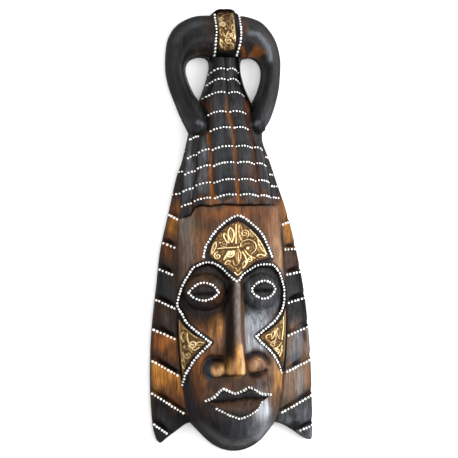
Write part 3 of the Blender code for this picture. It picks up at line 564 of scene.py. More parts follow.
RIGHT_CHEEK_SCROLLS = [
    (44.6, -128.6, 3.6, 1.4, 30, 1), (49, -137.6, 3.8, 1.3, 140, -1), (54.6, -104.4, 2.4, 1.2, 60, -1),
]
RIGHT_CHEEK_LEAVES = [
    (50.2, -110.8, 52.2, -122.4, 2.1), (45.6, -113.6, 42.8, -122, 1.9), (51.4, -146.4, 54.4, -156, 1.7),
    (36, -120.6, 42, -117.2, 1.8),
]
RIGHT_CHEEK_RIBS = [
    [(60.8, -91), (61.2, -104), (60.2, -125), (58.2, -149)],
    [(58.4, -97), (58.2, -110), (55.8, -124)],
    [(46.8, -111), (48, -121.4), (46, -124.8)],
    [(36.2, -122.4), (40.8, -127), (44, -132.6)],
    [(43.6, -133.4), (50, -132), (55.4, -127)],
    [(55.8, -131), (54.2, -140), (50.4, -144.4)],
]
RIGHT_CHEEK_BALLS = [(41.2, -129, 1.4), (56.4, -136.4, 1.6), (57.6, -118.4, 1.5)]

# Ornament of the crest sheet
CREST_SCROLLS = [
    (2, 212.4, 4.2, 1.4, 80, 1), (-3.2, 231.4, 3.4, 1.4, 200, -1), (6, 204.6, 2.2, 1.1, 0, 1),
    (7, 240.4, 2.8, 1.2, 90, -1), (-4.6, 237.6, 2.6, 1.2, 20, 1), (4.6, 218.4, 2.4, 1.1, 150, -1),
]
CREST_LEAVES = [
    (3.2, 236.6, 3, 226.8, 2.2), (7.8, 231, 7.4, 223.4, 1.7), (-0.7, 207.2, -0.8, 202.6, 1.4),
    (6.8, 222, 7.6, 214.4, 1.8), (-5.6, 226, -6, 219, 1.6), (-5.8, 246, 1, 249, 1.5),
    (-6.6, 213, -5.4, 206, 1.4), (4.4, 209.6, 8.4, 203.6, 1.5),
]
CREST_RIBS = [
    [(-6, 236.4), (-3.4, 241), (1.8, 244.6), (7.4, 245.2), (9.6, 240.6)],
    [(9.8, 237.4), (9.4, 226.2), (9.6, 212)],
    [(-4, 222.2), (-1.6, 217.2), (1.8, 222.8)],
    [(-2.8, 209), (0.9, 206.2)],
    [(-8, 215.2), (-4.6, 210.6)],
    [(-8, 209.8), (-4.6, 205.2)],
    [(-7.6, 243.6), (-7.2, 233), (-8, 222)],
]
CREST_BALLS = [(-0.6, 226.4, 1.6), (4.2, 247, 1.2), (-3.2, 246, 1.4)]

ORNAMENT = {
    "crest_band": (CREST_SCROLLS, CREST_LEAVES, CREST_RIBS, CREST_BALLS),
    "forehead_plate": (FOREHEAD_SCROLLS, FOREHEAD_LEAVES, FOREHEAD_RIBS, FOREHEAD_BALLS),
    "left_cheek_plate": (LEFT_CHEEK_SCROLLS, LEFT_CHEEK_LEAVES, LEFT_CHEEK_RIBS, LEFT_CHEEK_BALLS),
    "right_cheek_plate": (RIGHT_CHEEK_SCROLLS, RIGHT_CHEEK_LEAVES, RIGHT_CHEEK_RIBS, RIGHT_CHEEK_BALLS),
}

# Depth of the embossing in metres, half width of a ridge in carving units, and heights as shares of
# the depth, with their swing from ridge to ridge or across the chased ground
EMBOSS_DEPTH = 0.0010
RIDGE_WIDTH = 1.25
RIDGE_WIDTH_SWING = 0.35
RIDGE_HEIGHT = 0.84
RIDGE_HEIGHT_SWING = 0.16
BALL_HEIGHT = 0.95
GROUND_HEIGHT = 0.26
GROUND_MOTTLE = 0.36
GROUND_GRAIN = 0.13

# Rows of painted dots: lines that follow the carving
BROW_LEFT = [
    (3, -56), (-5.6, -48.5), (-13.3, -40.5), (-20.8, -35.9), (-29.6, -34.3), (-39.4, -37.5),
    (-44.9, -40.8), (-50.1, -49.6), (-55.6, -59.6), (-59, -70.8), (-61.2, -81.9), (-56.5, -92),
    (-51.4, -102.1), (-41.9, -111.1), (-32.3, -119), (-26.1, -123.6),
]
CHEEK_LEFT = [
    (-28, -126), (-33.7, -131.2), (-42.7, -139.9), (-49.4, -149.8), (-55, -161), (-57.8, -171.2),
]
BROW_RIGHT = [
    (6.4, -55), (10.9, -48.9), (19.3, -43.5), (27.4, -39.3), (36.2, -38.2), (46.3, -39.9), (54, -48.1),
    (57.7, -56.3), (60.8, -68.2), (59.7, -82.9), (55.7, -92.3), (48.1, -100.8), (40.8, -107.1),
    (31, -114.5), (25.2, -118.7),
]
CHEEK_RIGHT = [
    (27, -121), (32.1, -127), (38.8, -132.9), (45.7, -141.1), (49.4, -147.1), (53.1, -153.9),
    (55.2, -161.5),
]
ARCH = [
    (-32.9, -27.7), (-30.5, -17.8), (-26.9, -11.2), (-19.9, -1.3), (-10.7, 7.3), (-1.6, 13.7),
    (8.7, 16.8), (19.8, 10), (30.8, -0.4), (37.4, -10.7), (42.6, -24.2), (44.8, -29.7),
]
UPPER_LIP_DOTS = [
    (-33.9, -188.2), (-24.4, -183.5), (-15.7, -175.7), (-10.4, -176.8), (-2.2, -180.7), (6.5, -178.7),
    (14.7, -174.7), (22.8, -178.5), (28.9, -182.5), (39.9, -184.5),
]
LOWER_LIP_DOTS = [
    (-22.5, -196.9), (-12.7, -202.6), (-2, -207.3), (5.1, -208.9), (17.5, -203.9), (24.7, -198.9),
    (28.7, -191.4),
]
BAND_LEFT_DOTS = [(-10.3, 244), (-10.5, 226.9), (-12.3, 211.3), (-12, 197.9)]
BAND_RIGHT_DOTS = [(18, 243), (16.6, 219), (13.4, 197.7)]

# First dotted tier of each rope, and levels of the short dotted dashes beside the headdress
FIRST_DOTTED_TIERS = [4, 5, 0, 0, 5]
EDGE_DASHES = [(-1, LEFT_HAIR_BOUND, (89.8, 67.5, 42.5)), (1, RIGHT_HAIR_BOUND, (82, 62, 49, 36))]
DASH_START = 2.0
DASH_END = 8.5

# Spacing and size of the dots, and the rings of corners of one dome as reach and height
DOT_SPACING = 3.45
DOT_RADIUS = 1.24
HAIR_DOT_SHARE = 0.84
DOT_HEIGHT = 0.55
DOT_SEED = 7
DOT_DRIFT = 0.16
DOT_WANDER = 0.13
DOT_SIZES = (0.80, 1.14)
DOT_LENGTH = 1.05
DOME_RINGS = [(1.0, -0.35), (0.97, 0.25), (0.78, 0.72), (0.42, 0.95)]
DOME_SIDES = 12

# Slight unevenness of the front: height, stretch along Y, wave length and seed of each set of waves
HAND_MARKS = [(0.13, 0.6, 13, 5), (0.07, 0.7, 5.5, 6)]
WAVES_A_SET = 7
WAVE_GAIN = 3.2

# Depth of the gouge marks in the hollow in metres, turn between them, blend at the edge of a sheet's
# seat, and the angle past which an edge stays sharp
GOUGE_DEPTH = 0.0006
GOUGE_TURN = 0.42
SEAT_BLEND = (-1.3, -0.3)
SHARP_ANGLE = 48

# Colours of the materials
GRAIN_LIGHT = (1.46, 1.41, 1.33, 1)
GRAIN_DARK = (0.42, 0.37, 0.34, 1)
PORE_COLOUR = (0.005, 0.004, 0.003, 1)
BRASS_RECESS = (0.036, 0.017, 0.006, 1)
BRASS_GROUND = (0.150, 0.082, 0.028, 1)
BRASS_RIDGE = (0.68, 0.53, 0.28, 1)
PAINT_CLEAN = (0.95, 0.94, 0.91, 1)
PAINT_GRIMY = (0.66, 0.61, 0.52, 1)

# Camera: its lean and roll in degrees, its distance, and the size of a pixel at the mask in metres
CAMERA_LEAN = 8.5
CAMERA_ROLL = 1.4
CAMERA_REACH = 1.7
CAMERA_TARGET = (-0.0014, 0.0011, 0.014)
CAMERA_NUDGE = (1.7, 1.0)
PIXEL = 0.001131
IMAGE_WIDTH = 458
SENSOR_WIDTH = 36

# Studio: half the side of the floor, light of the surroundings, and each light's name, place, size,
# power and colour
FLOOR_HALF = 6.0
SURROUNDINGS_STRENGTH = 0.70
STUDIO_LIGHTS = [
    ("right_window", (1.35, 0.25, 1.0), (1.2, 1.6), 42, (0.90, 0.95, 1.0)),
    ("overhead", (0.1, 0.0, 2.3), (1.4, 1.4), 24, (1, 1, 1)),
    ("left_fill", (-1.4, 0.4, 1.1), (1.6, 1.6), 10, (1, 1, 1)),
    ("top_fill", (0.0, 1.7, 1.1), (1.8, 0.9), 5, (1, 1, 1)),
    ("low_fill", (0.0, -1.7, 1.1), (1.8, 0.9), 2, (1, 1, 1)),
]


def smooth_run(points, steps=5):
    """Points along a Catmull-Rom curve that passes through the given points."""
    knots = np.array(points, float)
    knots = np.vstack([2 * knots[0] - knots[1], knots, 2 * knots[-1] - knots[-2]])
    run = []
    for a, b, c, d in zip(knots[:-3], knots[1:-2], knots[2:-1], knots[3:]):
        for s in np.arange(steps) / steps:
            slope = (c - a) * s + (2 * a - 5 * b + 4 * c - d) * s**2 + (3 * b - a - 3 * c + d) * s**3
            run.append(b + slope / 2)
    run.append(knots[-2])
    return np.array(run)


def joined_runs(*runs):
    """One closed loop from runs that share their end points."""
    return np.vstack([smooth_run(run)[:-1] for run in runs])


def closed_loop(run):
    """A loop of points with its first point repeated at the end."""
    return np.vstack([run, run[:1]])


def lengths_along(path):
    """The length of a path up to each of its points."""
    return np.concatenate([[0], np.cumsum(np.hypot(*np.diff(path, axis=0).T))])


def points_along(path, along, places):
    """The points of a path at the given lengths along it."""
    return np.column_stack([np.interp(places, along, path[:, k]) for k in (0, 1)])


def respaced(loop, spacing):
    """A closed loop with points an even distance apart."""
    path = closed_loop(loop)
    along = lengths_along(path)
    count = int(np.ceil(along[-1] / spacing))
    return points_along(path, along, np.arange(count) * along[-1] / count)


def distance(x, y, path):
    """The shortest distance from each point to a path."""
    nearest = np.full(x.shape, 1e9)
    for (ax, ay), (bx, by) in zip(path[:-1], path[1:]):
        dx, dy = bx - ax, by - ay
        share = np.clip(((x - ax) * dx + (y - ay) * dy) / (dx * dx + dy * dy + 1e-12), 0, 1)
        nearest = np.minimum(nearest, np.hypot(x - ax - share * dx, y - ay - share * dy))
    return nearest


def inside(x, y, loop):
    """Whether each point lies inside a closed loop."""
    crossings = np.zeros(x.shape, int)
    path = closed_loop(loop)
    for (ax, ay), (bx, by) in zip(path[:-1], path[1:]):
        if ay == by:
            continue
        spans = (ay > y) != (by > y)
        crossings += spans & (x < ax + (y - ay) * (bx - ax) / (by - ay))
    return crossings % 2 == 1


def depth_inside(x, y, loop):
    """The distance of each point from a closed loop, positive inside it."""
    return np.where(inside(x, y, loop), 1, -1) * distance(x, y, closed_loop(loop))


def ease(value, start, end):
    """A smooth step from 0 at start to 1 at end."""
    share = np.clip((value - start) / (end - start), 0, 1)
    return share * share * (3 - 2 * share)


def table(value, pairs):
    """A value read from a table of pairs, with straight lines between them."""
    ordered = sorted(pairs)
    return np.interp(value, [pair[0] for pair in ordered], [pair[1] for pair in ordered])


def smooth_table(value, pairs):
    """A value read from a table of pairs, with a smooth curve between them."""
    run = smooth_run(sorted(pairs))
    return np.interp(value, run[:, 0], run[:, 1])


def bell(value, width, power=2):
    """1 where a value is 0, falling to 0 beyond a width on either side."""
    return np.exp(-((value / width) ** power))


def near_line(x, y, line, width, power=2):
    """1 on the smooth curve through a line and falling to 0 beside it."""
    return bell(distance(x, y, smooth_run(line)), width, power)


def oval_reach(x, y, oval):
    """The distance of each point from the middle of an oval, as a share of the way to its edge."""
    return np.hypot((x - oval[0]) / oval[2], (y - oval[1]) / oval[3])


def between_bounds(x, y, left, right, blend):
    """1 between two bounds given as (Y, X) and 0 beside them."""
    return ease(x - table(y, left), -blend, blend) * ease(table(y, right) - x, -blend, blend)


WOOD_OUTLINE = joined_runs(
    CREST_RUN, RIGHT_HORN_RUN, RIGHT_SIDE_RUN, RIGHT_TIP_RUN,
    CHIN_RUN, LEFT_TIP_RUN, LEFT_SIDE_RUN, LEFT_HORN_RUN,
)
WOOD_EDGE = closed_loop(WOOD_OUTLINE)
OPENINGS = [smooth_run(LEFT_OPENING)[:-1], smooth_run(RIGHT_OPENING)[:-1]]
HORN_OUTER = np.vstack([smooth_run(run) for run in (LEFT_HORN_RUN, CREST_RUN, RIGHT_HORN_RUN)])
HORN_INNER = smooth_run(HORN_INNER_RUN)
HORN_LOOP = np.vstack([HORN_OUTER, HORN_INNER[::-1][1:-1]])
FACE_LOOP = joined_runs(RIGHT_FACE_RUN, CHIN_RUN, LEFT_FACE_RUN, FACE_TOP_RUN)
LOCK_INNER_LEFT = smooth_run([(px, py) for py, px in LEFT_HAIR_BOUND[4:0:-1]] + LEFT_FACE_RUN[-2::-1])
LOCK_INNER_RIGHT = smooth_run([(px, py) for py, px in RIGHT_HAIR_BOUND[4::-1]] + RIGHT_FACE_RUN[1:])


def hollow_height(x, y, hollow, eye):
    """How far the hollow round an eye sinks, less the swell of the eye in it."""
    loop = smooth_run(hollow)
    depth = depth_inside(x, y, loop)
    fade = ease(y, -112, -86)
    sink = -HOLLOW_SINK * ease(depth, -0.8, 5.5) * fade
    reach = oval_reach(x, y, eye)
    swell = EYE_SWELL * np.clip(1 - reach**2.6, 0, 1) ** 0.7
    return sink + swell * ease(depth, -1, 2)


def almond_reach(x, lids):
    """How far the almond between two lids opens at each X, from 0 at its corners to 1 midway."""
    middle, half = (lids[0] + lids[1]) / 2, (lids[1] - lids[0]) / 2
    return np.clip(1 - ((x - middle) / half) ** 2, 0, 1) ** 0.8


def almond_share(x, y, lids):
    """How far inside the almond between two lids a point lies, from 0 at its edge."""
    level, top, bottom = lids[2:]
    share = np.where(y > level, (y - level) / (top - level), (y - level) / (bottom - level))
    return almond_reach(x, lids) - share


def lid_opening(x, y, lids):
    """The sunk almond between the lids of an eye, with a slit along it."""
    slit = bell(y - lids[2] + SLIT_DROP, SLIT_WIDTH) * ease(almond_reach(x, lids), 0.25, 0.7)
    return -LID_SINK * ease(almond_share(x, y, lids), 0.05, 0.45) - SLIT_DEPTH * slit


def nose_height(x, y, ground):
    """The nose and its two wings, standing on the ground of the face."""
    off = np.abs(x - smooth_table(y, NOSE_LINE))
    share = np.clip((off - table(y, NOSE_FLAT)) / table(y, NOSE_FLANK), 0, 1)
    ends = ease(y, NOSE_END - 3.5, NOSE_END + 1.5) * ease(-y, 44, 62)
    crown = smooth_table(y, NOSE_RIDGE) - NOSE_BOW * off**2
    height = ground + (crown - ground) * (1 - ease(share, -0.15, 1)) * ends
    for wing in (LEFT_WING, RIGHT_WING):
        reach = oval_reach(x, y, wing)
        bulb = ground + (WING_HEIGHT - ground) * np.clip(1 - reach**2.4, 0, 1) ** 0.85
        height = np.maximum(height, bulb)
    for crease in WING_CREASES:
        height = height - CREASE_DEPTH * near_line(x, y, crease, CREASE_WIDTH)
    return height


def lip_loop(contour):
    """The closed loop between the contour of a lip and the line of the mouth."""
    return np.vstack([smooth_run(contour), smooth_run(MOUTH_LINE)[::-1][1:-1]])


def lip_swell(x, y, contour):
    """The swell of a lip between its contour and the line of the mouth."""
    to_outer = distance(x, y, smooth_run(contour))
    to_line = distance(x, y, smooth_run(MOUTH_LINE))
    share = to_outer / (to_outer + to_line + 1e-6)
    rounded = np.sin(np.pi * np.clip(share, 0, 1) ** 0.75)
    return np.where(inside(x, y, lip_loop(contour)), LIP_SWELL * rounded ** 0.7, 0)


def face_height(x, y):
    """The height of the face, from its rim to its features."""
    depth = depth_inside(x, y, FACE_LOOP)
    rim = CHIN_RIM + (FACE_RIM - CHIN_RIM) * ease(y, -232, -208)
    crown = smooth_table(y, FACE_PROFILE) - FACE_BOW * (x / 60) ** 2
    shoulder = 1 - (1 - np.clip(depth / FACE_SHOULDER, 0, 1)) ** 2
    ground = rim + (crown - rim) * shoulder
    for cheek, side in ((LEFT_CHEEK_LINE, -1), (RIGHT_CHEEK_LINE, 1)):
        line = smooth_run(cheek)
        edge_x = np.interp(-y, -line[:, 1], line[:, 0])
        beyond = side * (x - edge_x)
        step = ease(beyond, -1.0, 1.0) * np.exp(-np.clip(beyond, 0, None) / 9)
        ground = ground - CHEEK_STEP * step * ease(-y, 121, 132) * ease(y, -182, -164)
    height = ground + MUZZLE_SWELL * np.exp(-((x / 34) ** 4) - (((y + 190) / 30) ** 4))
    for hollow, eye, lids in ((LEFT_HOLLOW, LEFT_EYE, LEFT_LIDS), (RIGHT_HOLLOW, RIGHT_EYE, RIGHT_LIDS)):
        height = height + hollow_height(x, y, hollow, eye) + lid_opening(x, y, lids)
    height = nose_height(x, y, height)
    height = height + lip_swell(x, y, UPPER_LIP) + lip_swell(x, y, LOWER_LIP)
    return height - MOUTH_DEPTH * near_line(x, y, MOUTH_LINE, MOUTH_WIDTH)


def tier_line(rope, tier, place):
    """The Y of the edge of a tier at a place across its rope, from -1 to 1."""
    arch = ROPE_ARCHES[rope] * (NECK_ARCH if tier > 150 else 1.0)
    return tier - ROPE_DROPS[rope] - arch * (place - ROPE_PEAKS[rope]) ** 2


def hair_height(x, y):
    """The height of the roped headdress and the neck."""
    left = table(y, LEFT_HAIR_BOUND)
    right = table(y, RIGHT_HAIR_BOUND)
    share = np.clip(np.abs(2 * (x - left) / (right - left) - 1), 0, 1)
    edge = table(y, HAIR_EDGE)
    height = edge + (smooth_table(y, HAIR_RIDGE) - edge) * (1 - share**2.3) ** 0.75
    bounds = [left] + [table(y, groove) for groove in HAIR_GROOVES] + [right]
    for rope, (low, high) in enumerate(zip(bounds[:-1], bounds[1:])):
        width = np.maximum(high - low, 0.5)
        place = 2 * (x - low) / width - 1
        own = (np.abs(place) <= 1) & (high - low > 2)
        rounding = -ROPE_GROOVE_DEPTH * np.abs(np.clip(place, -1, 1)) ** 3.5
        tiers = np.zeros(x.shape)
        for tier in TIER_HEIGHTS:
            above = y - tier_line(rope, tier, place)
            tiers = tiers - TIER_STEP * np.exp(-np.maximum(above, 0) / 3.5) * ease(above, -0.9, 0.3)
        height = height + np.where(own, rounding + tiers, 0)
    return height


def to_seams(x, y):
    """The distance of each point from the seams between the face and the side locks."""
    return np.minimum(distance(x, y, LOCK_INNER_LEFT), distance(x, y, LOCK_INNER_RIGHT))


def lock_height(x, y, to_edge):
    """The height of the side locks, with the cuts across them."""
    share = to_edge / (to_edge + to_seams(x, y) + 1e-6)
    height = LOCK_OUTER_HEIGHT + (LOCK_INNER_HEIGHT - LOCK_OUTER_HEIGHT) * share
    for outer, inner in LEFT_CUTS + RIGHT_CUTS:
        along = np.array(inner) - np.array(outer)
        length = np.hypot(*along)
        along = along / length
        up = np.array([-along[1], along[0]])
        up = up * np.sign(up[1])
        share = ((x - outer[0]) * along[0] + (y - outer[1]) * along[1]) / length
        above = (x - outer[0]) * up[0] + (y - outer[1]) * up[1]
        width = CUT_WIDTH * np.clip(1.02 - share, 0, 1) ** 0.5 + 0.01
        slope = (1 - np.clip((above - 1.4) / width, 0, 1) ** 1.6) * ease(above, 0.4, 2.0)
        height = height - CUT_DEPTH * slope * ease(width, 0.5, 3.5) * (share < 1.02) * (share > -0.4)
    return height


def horn_height(x, y):
    """The height of the ring of horns and of the band over its crest."""
    to_outer = distance(x, y, HORN_OUTER)
    to_inner = distance(x, y, HORN_INNER)
    share = to_outer / (to_outer + to_inner + 1e-6)
    crest = smooth_table(y, HORN_CREST)
    rise = np.clip(share / HORN_CREST_SHARE, 0, 1)
    fall = np.clip((share - HORN_CREST_SHARE) / (1 - HORN_CREST_SHARE), 0, 1)
    height = np.where(
        share < HORN_CREST_SHARE,
        HORN_RIM + (crest - HORN_RIM) * np.sin(rise * np.pi / 2),
        HORN_RIM + (crest - HORN_RIM) * (1 - fall**2.1) ** 0.75,
    )
    return height + BAND_RISE * on_band(x, y)


def on_band(x, y):
    """1 on the band over the crest and 0 beside it."""
    return between_bounds(x, y, BAND_LEFT, BAND_RIGHT, BORDER_BLEND) * (y > 150)


def wood_front(x, y):
    """The height of the carved front of the wood, in carving units."""
    to_edge = distance(x, y, WOOD_EDGE)
    face = face_height(x, y)
    hair = hair_height(x, y)
    lock = lock_height(x, y, to_edge)
    in_hair = between_bounds(x, y, LEFT_HAIR_BOUND, RIGHT_HAIR_BOUND, BORDER_BLEND)
    over_hem = ease(y - table(x, HEM), -BORDER_BLEND, BORDER_BLEND)
    in_face = ease(depth_inside(x, y, FACE_LOOP), -BORDER_BLEND, BORDER_BLEND) * (1 - over_hem)
    height = lock + (hair - lock) * in_hair * over_hem
    height = height + (face - height) * in_face
    horn = horn_height(x, y)
    on_horn = ease(depth_inside(x, y, HORN_LOOP), -0.4, 0.8)
    height = height + (np.maximum(horn, height * (y < 195)) - height) * on_horn
    rounding = 1 - np.sqrt(1 - (1 - np.clip(to_edge / EDGE_ROUNDING, 0, 1)) ** 2)
    return height - EDGE_ROUNDING * rounding * (1 - on_band(x, y))


def wood_back(x, y, front):
    """The height of the back: a flat rim round a hollow behind the face, in metres."""
    depth = depth_inside(x, y, FACE_LOOP) * UNIT - RIM_WIDTH
    bowl = HOLLOW_DEPTH * (1 - (1 - np.clip(depth / HOLLOW_SIDE, 0, 1)) ** 2)
    return np.maximum(0, np.minimum(bowl, front - WALL_THICKNESS))


def lattice(loop, spacing):
    """Points in rows across the box of a loop, each row set over by half a space."""
    low, high = loop.min(axis=0), loop.max(axis=0)
    rise = spacing * np.sqrt(3) / 2
    points = []
    for row in range(int(low[1] // rise), int(high[1] // rise) + 1):
        for place in range(int(low[0] // spacing), int(high[0] // spacing) + 1):
            points.append(((place + row % 2 / 2) * spacing, row * rise))
    return np.array(points)


def sheet_seat(x, y):
    """The floor of the seat that a sheet is let into, in metres."""
    return wood_front(x, y) * RISE - RECESS_DEPTH


def steepness(x, y):
    """The rise along Z for each metre of thickness across the surface of the wood."""
    near = 0.6
    across = (wood_front(x + near, y) - wood_front(x - near, y)) / (2 * near)
    along = (wood_front(x, y + near) - wood_front(x, y - near)) / (2 * near)
    return np.minimum(np.sqrt(1 + across**2 + along**2), 2.0)


def shade(name):
    """A named tone as a linear colour."""
    value = np.array(TONES[name]) / 255
    return np.where(value <= 0.04045, value / 12.92, ((value + 0.055) / 1.055) ** 2.4)


def sway(x, y, scale, seed):
    """A smooth uneven field between about -1 and 1, of waves of about the given length."""
    waves = np.random.default_rng(seed)
    total = np.zeros(x.shape)
    for _ in range(WAVES_A_SET):
        turn = waves.uniform(0, 2 * np.pi)
        length = scale * waves.uniform(0.6, 1.8)
        phase = waves.uniform(0, 2 * np.pi)
        total += np.sin((x * np.cos(turn) + y * np.sin(turn)) * 2 * np.pi / length + phase)
    return total / WAVE_GAIN


def hand_marks(x, y):
    """The slight unevenness that the knife and the sanding left on the front."""
    return sum(high * sway(x, y * stretch, length, seed) for high, stretch, length, seed in HAND_MARKS)


def fine_front(x, y):
    """The height of the front with its hand marks, in carving units."""
    marks = hand_marks(x, y) * ease(distance(x, y, WOOD_EDGE), 0.5, 4)
    return wood_front(x, y) + marks


def seated_front(x, y):
    """The height of the front with the seats of the sheets, in metres."""
    height = fine_front(x, y) * RISE
    for outline in SHEETS.values():
        seat = ease(depth_inside(x, y, sheet_loop(outline)), *SEAT_BLEND)
        height = height * (1 - seat) + sheet_seat(x, y) * seat
    return height


def gouged_back(x, y):
    """The back with the marks of the gouge in its hollow, in metres."""
    front = wood_front(x, y) * RISE
    flat = wood_back(x, y, front)
    scallops = np.abs(np.sin(x * GOUGE_TURN + 0.9 * sway(x, y, 60, 11))) * (0.6 + 0.4 * sway(x, y, 24, 12))
    return flat + GOUGE_DEPTH * ease(flat, 0.0005, 0.004) * scallops


def sheet_loop(outline):
    """The smooth closed edge of a sheet."""
    return smooth_run(outline + outline[:1])[:-1]


def flat_sheet(edges, spacing):
    """Corners and triangles of a flat piece bounded by loops, whose own points come first."""
    grid = lattice(edges[0], spacing)
    keep = depth_inside(grid[:, 0], grid[:, 1], edges[0]) > 0.5 * spacing
    for hole in edges[1:]:
        keep &= depth_inside(grid[:, 0], grid[:, 1], hole) < -0.5 * spacing
    points = np.vstack(edges + [grid[keep]])
    borders = []
    start = 0
    for loop in edges:
        borders += [(start + k, start + (k + 1) % len(loop)) for k in range(len(loop))]
        start += len(loop)
    corners, _, triangles, *_ = delaunay_2d_cdt([Vector(p) for p in points], borders, [], 0, 1e-7)
    corners = np.array([tuple(corner) for corner in corners])
    triangles = np.array(triangles)
    middles = corners[triangles].mean(axis=1)
    keep = inside(middles[:, 0], middles[:, 1], edges[0])
    for hole in edges[1:]:
        keep &= ~inside(middles[:, 0], middles[:, 1], hole)
    return corners, triangles[keep]


def solid_mesh(name, edges, spacings, front, back, rows):
    """A closed mesh between a fine front and a back that share their edges."""
    top, top_faces = flat_sheet(edges, spacings[0])
    low, low_faces = flat_sheet(edges, spacings[1])
    high_z = front(top[:, 0], top[:, 1])
    low_z = back(low[:, 0], low[:, 1])
    points = [np.column_stack([top * UNIT, high_z]), np.column_stack([low * UNIT, low_z])]
    faces = [top_faces, low_faces[:, ::-1] + len(top)]
    count = len(top) + len(low)
    start = 0
    for loop in edges:
        size = len(loop)
        rim = np.arange(start, start + size)
        rings = [rim]
        for row in range(1, rows):
            share = row / rows
            z = high_z[rim] * (1 - share) + low_z[rim] * share
            points.append(np.column_stack([top[rim] * UNIT, z]))
            rings.append(np.arange(count, count + size))
            count += size
        rings.append(rim + len(top))
        for upper, lower in zip(rings[:-1], rings[1:]):
            after = np.roll(upper, -1)
            below = np.roll(lower, -1)
            faces.append(np.column_stack([upper, lower, after]))
            faces.append(np.column_stack([after, lower, below]))
        start += size
    return top, mesh_from(name, np.vstack(points), np.vstack(faces))


def mesh_from(name, points, faces):
    """A mesh with outward normals that stays inside the box of the solids."""
    low, high = np.array(cad_box[0]), np.array(cad_box[1])
    mesh = bpy.data.meshes.new(name)
    mesh.from_pydata(np.clip(points, low, high).tolist(), [], faces.tolist())
    shape = bmesh.new()
    shape.from_mesh(mesh)
    bmesh.ops.recalc_face_normals(shape, faces=shape.faces)
    shape.to_mesh(mesh)
    shape.free()
    return mesh


def carry(mesh, name, values):
    """Stores a value or a colour for each vertex of a mesh."""
    values = np.asarray(values, np.float32)
    if values.ndim == 1:
        mesh.attributes.new(name, "FLOAT", "POINT").data.foreach_set("value", values)
        return
    shades = np.column_stack([values, np.ones(len(values), np.float32)])
    mesh.attributes.new(name, "FLOAT_COLOR", "POINT").data.foreach_set("color", shades.ravel())


def linked(name, data):
    """A new object in the scene."""
    thing = bpy.data.objects.new(name, data)
    bpy.context.scene.collection.objects.link(thing)
    return thing


def piece(mesh, node, finish):
    """A visible piece that rides on the mask, in the place of a node where one is named."""
    thing = linked(mesh.name, mesh)
    mesh.shade_smooth()
    mesh.set_sharp_from_angle(angle=np.radians(SHARP_ANGLE))
    mesh.materials.append(finish)
    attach(thing, "root")
    if node:
        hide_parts(node)
    return thing


def laid_over(colour, other, weight):
    """The colours with others laid over them by weight."""
    weight = np.clip(weight, 0, 1)[:, None]
    return colour * (1 - weight) + other * weight


def washed(colour, name, weight):
    """The colours with a tone laid over them by weight."""
    return laid_over(colour, shade(name), weight)


def plain(name, places):
    """One tone at each of the places."""
    return np.tile(shade(name), (len(places), 1))


def patched(colour, x, y, patches, within=1.0):
    """The colours with soft patches laid over them in a region: stains, painted sheen and painted shade, as
    their tones give.
    """
    warp_x, warp_y = [
        place + reach * sway(x * wide, y * high, length, seed)
        for place, (reach, wide, high, length, seed) in zip((x, y), STAIN_WANDER)
    ]
    for px, py, half_x, half_y, name, strength in patches:
        reach = ((warp_x - px) / half_x) ** 2 + ((warp_y - py) / half_y) ** 2
        colour = washed(colour, name, strength * within / (1 + np.minimum(reach, 40) ** 2.6))
    return colour


def stroked(colour, x, y, strokes):
    """The colours with strokes of stain, painted highlight and painted shade laid along smooth lines."""
    for line, width, name, strength in strokes:
        colour = washed(colour, name, strength * near_line(x, y, line, width))
    return colour


def lock_stain_and_shade(x, y, cuts, tones, side):
    """The colours of the locks on one side, from the headdress down to the tip."""
    levels = []
    for outer, inner in cuts:
        share = (x - outer[0]) / (inner[0] - outer[0])
        levels.append(outer[1] + share * (inner[1] - outer[1]))
    tops = [np.full(x.shape, LOCKS_TOP)] + levels
    ends = levels + [np.full(x.shape, LOCKS_END)]
    colour = plain(tones[0][0], x)
    for (upper, lower), top, end in zip(tones, tops, ends):
        here = (y <= top) & (y > end) & (side * x > 0)
        share = np.clip((top - y) / np.maximum(top - end, 1), 0, 1)
        shift = ease(share + 0.12 * sway(x, y, 14, 31), 0.15, 0.85)[:, None]
        own = shade(upper) * (1 - shift) + shade(lower) * shift
        colour = np.where(here[:, None], own, colour)
    for level in levels:
        above = y - level
        # Painted shade on the slope down into each cut, then a band of charred wood above it
        colour = washed(colour, "soot_and_shade", 0.97 * ease(above, 0.2, 1.2) * ease(-above, -9.5, -4.5))
        colour = washed(colour, "charcoal", 0.55 * ease(above, 6, 8) * ease(-above, -20, -9))
    return colour


def lock_colours(x, y, face, hair):
    """The stains and painted sheen of the side locks and of the wood beside the headdress, with painted shade
    along the seams.
    """
    colour = lock_stain_and_shade(x, y, LEFT_CUTS, LEFT_LOCKS, -1)
    other = lock_stain_and_shade(x, y, RIGHT_CUTS, RIGHT_LOCKS, 1)
    colour = np.where((x > 0)[:, None], other, colour)
    colour = patched(colour, x, y, LOCK_PATCHES, (1 - face) * (1 - hair))
    colour = washed(colour, "charcoal", 0.92 * ease(y, 22, 46) * (1 - hair))
    colour = washed(colour, "umber", 0.7 * ease(-distance(x, y, WOOD_EDGE), -3.5, 0))
    # Painted shade along the seams between the face and the locks
    seam_shade = bell(to_seams(x, y), SEAM_SHADE_WIDTH)
    return washed(colour, "soot_and_shade", 0.75 * seam_shade * ease(-y, -24, -10))


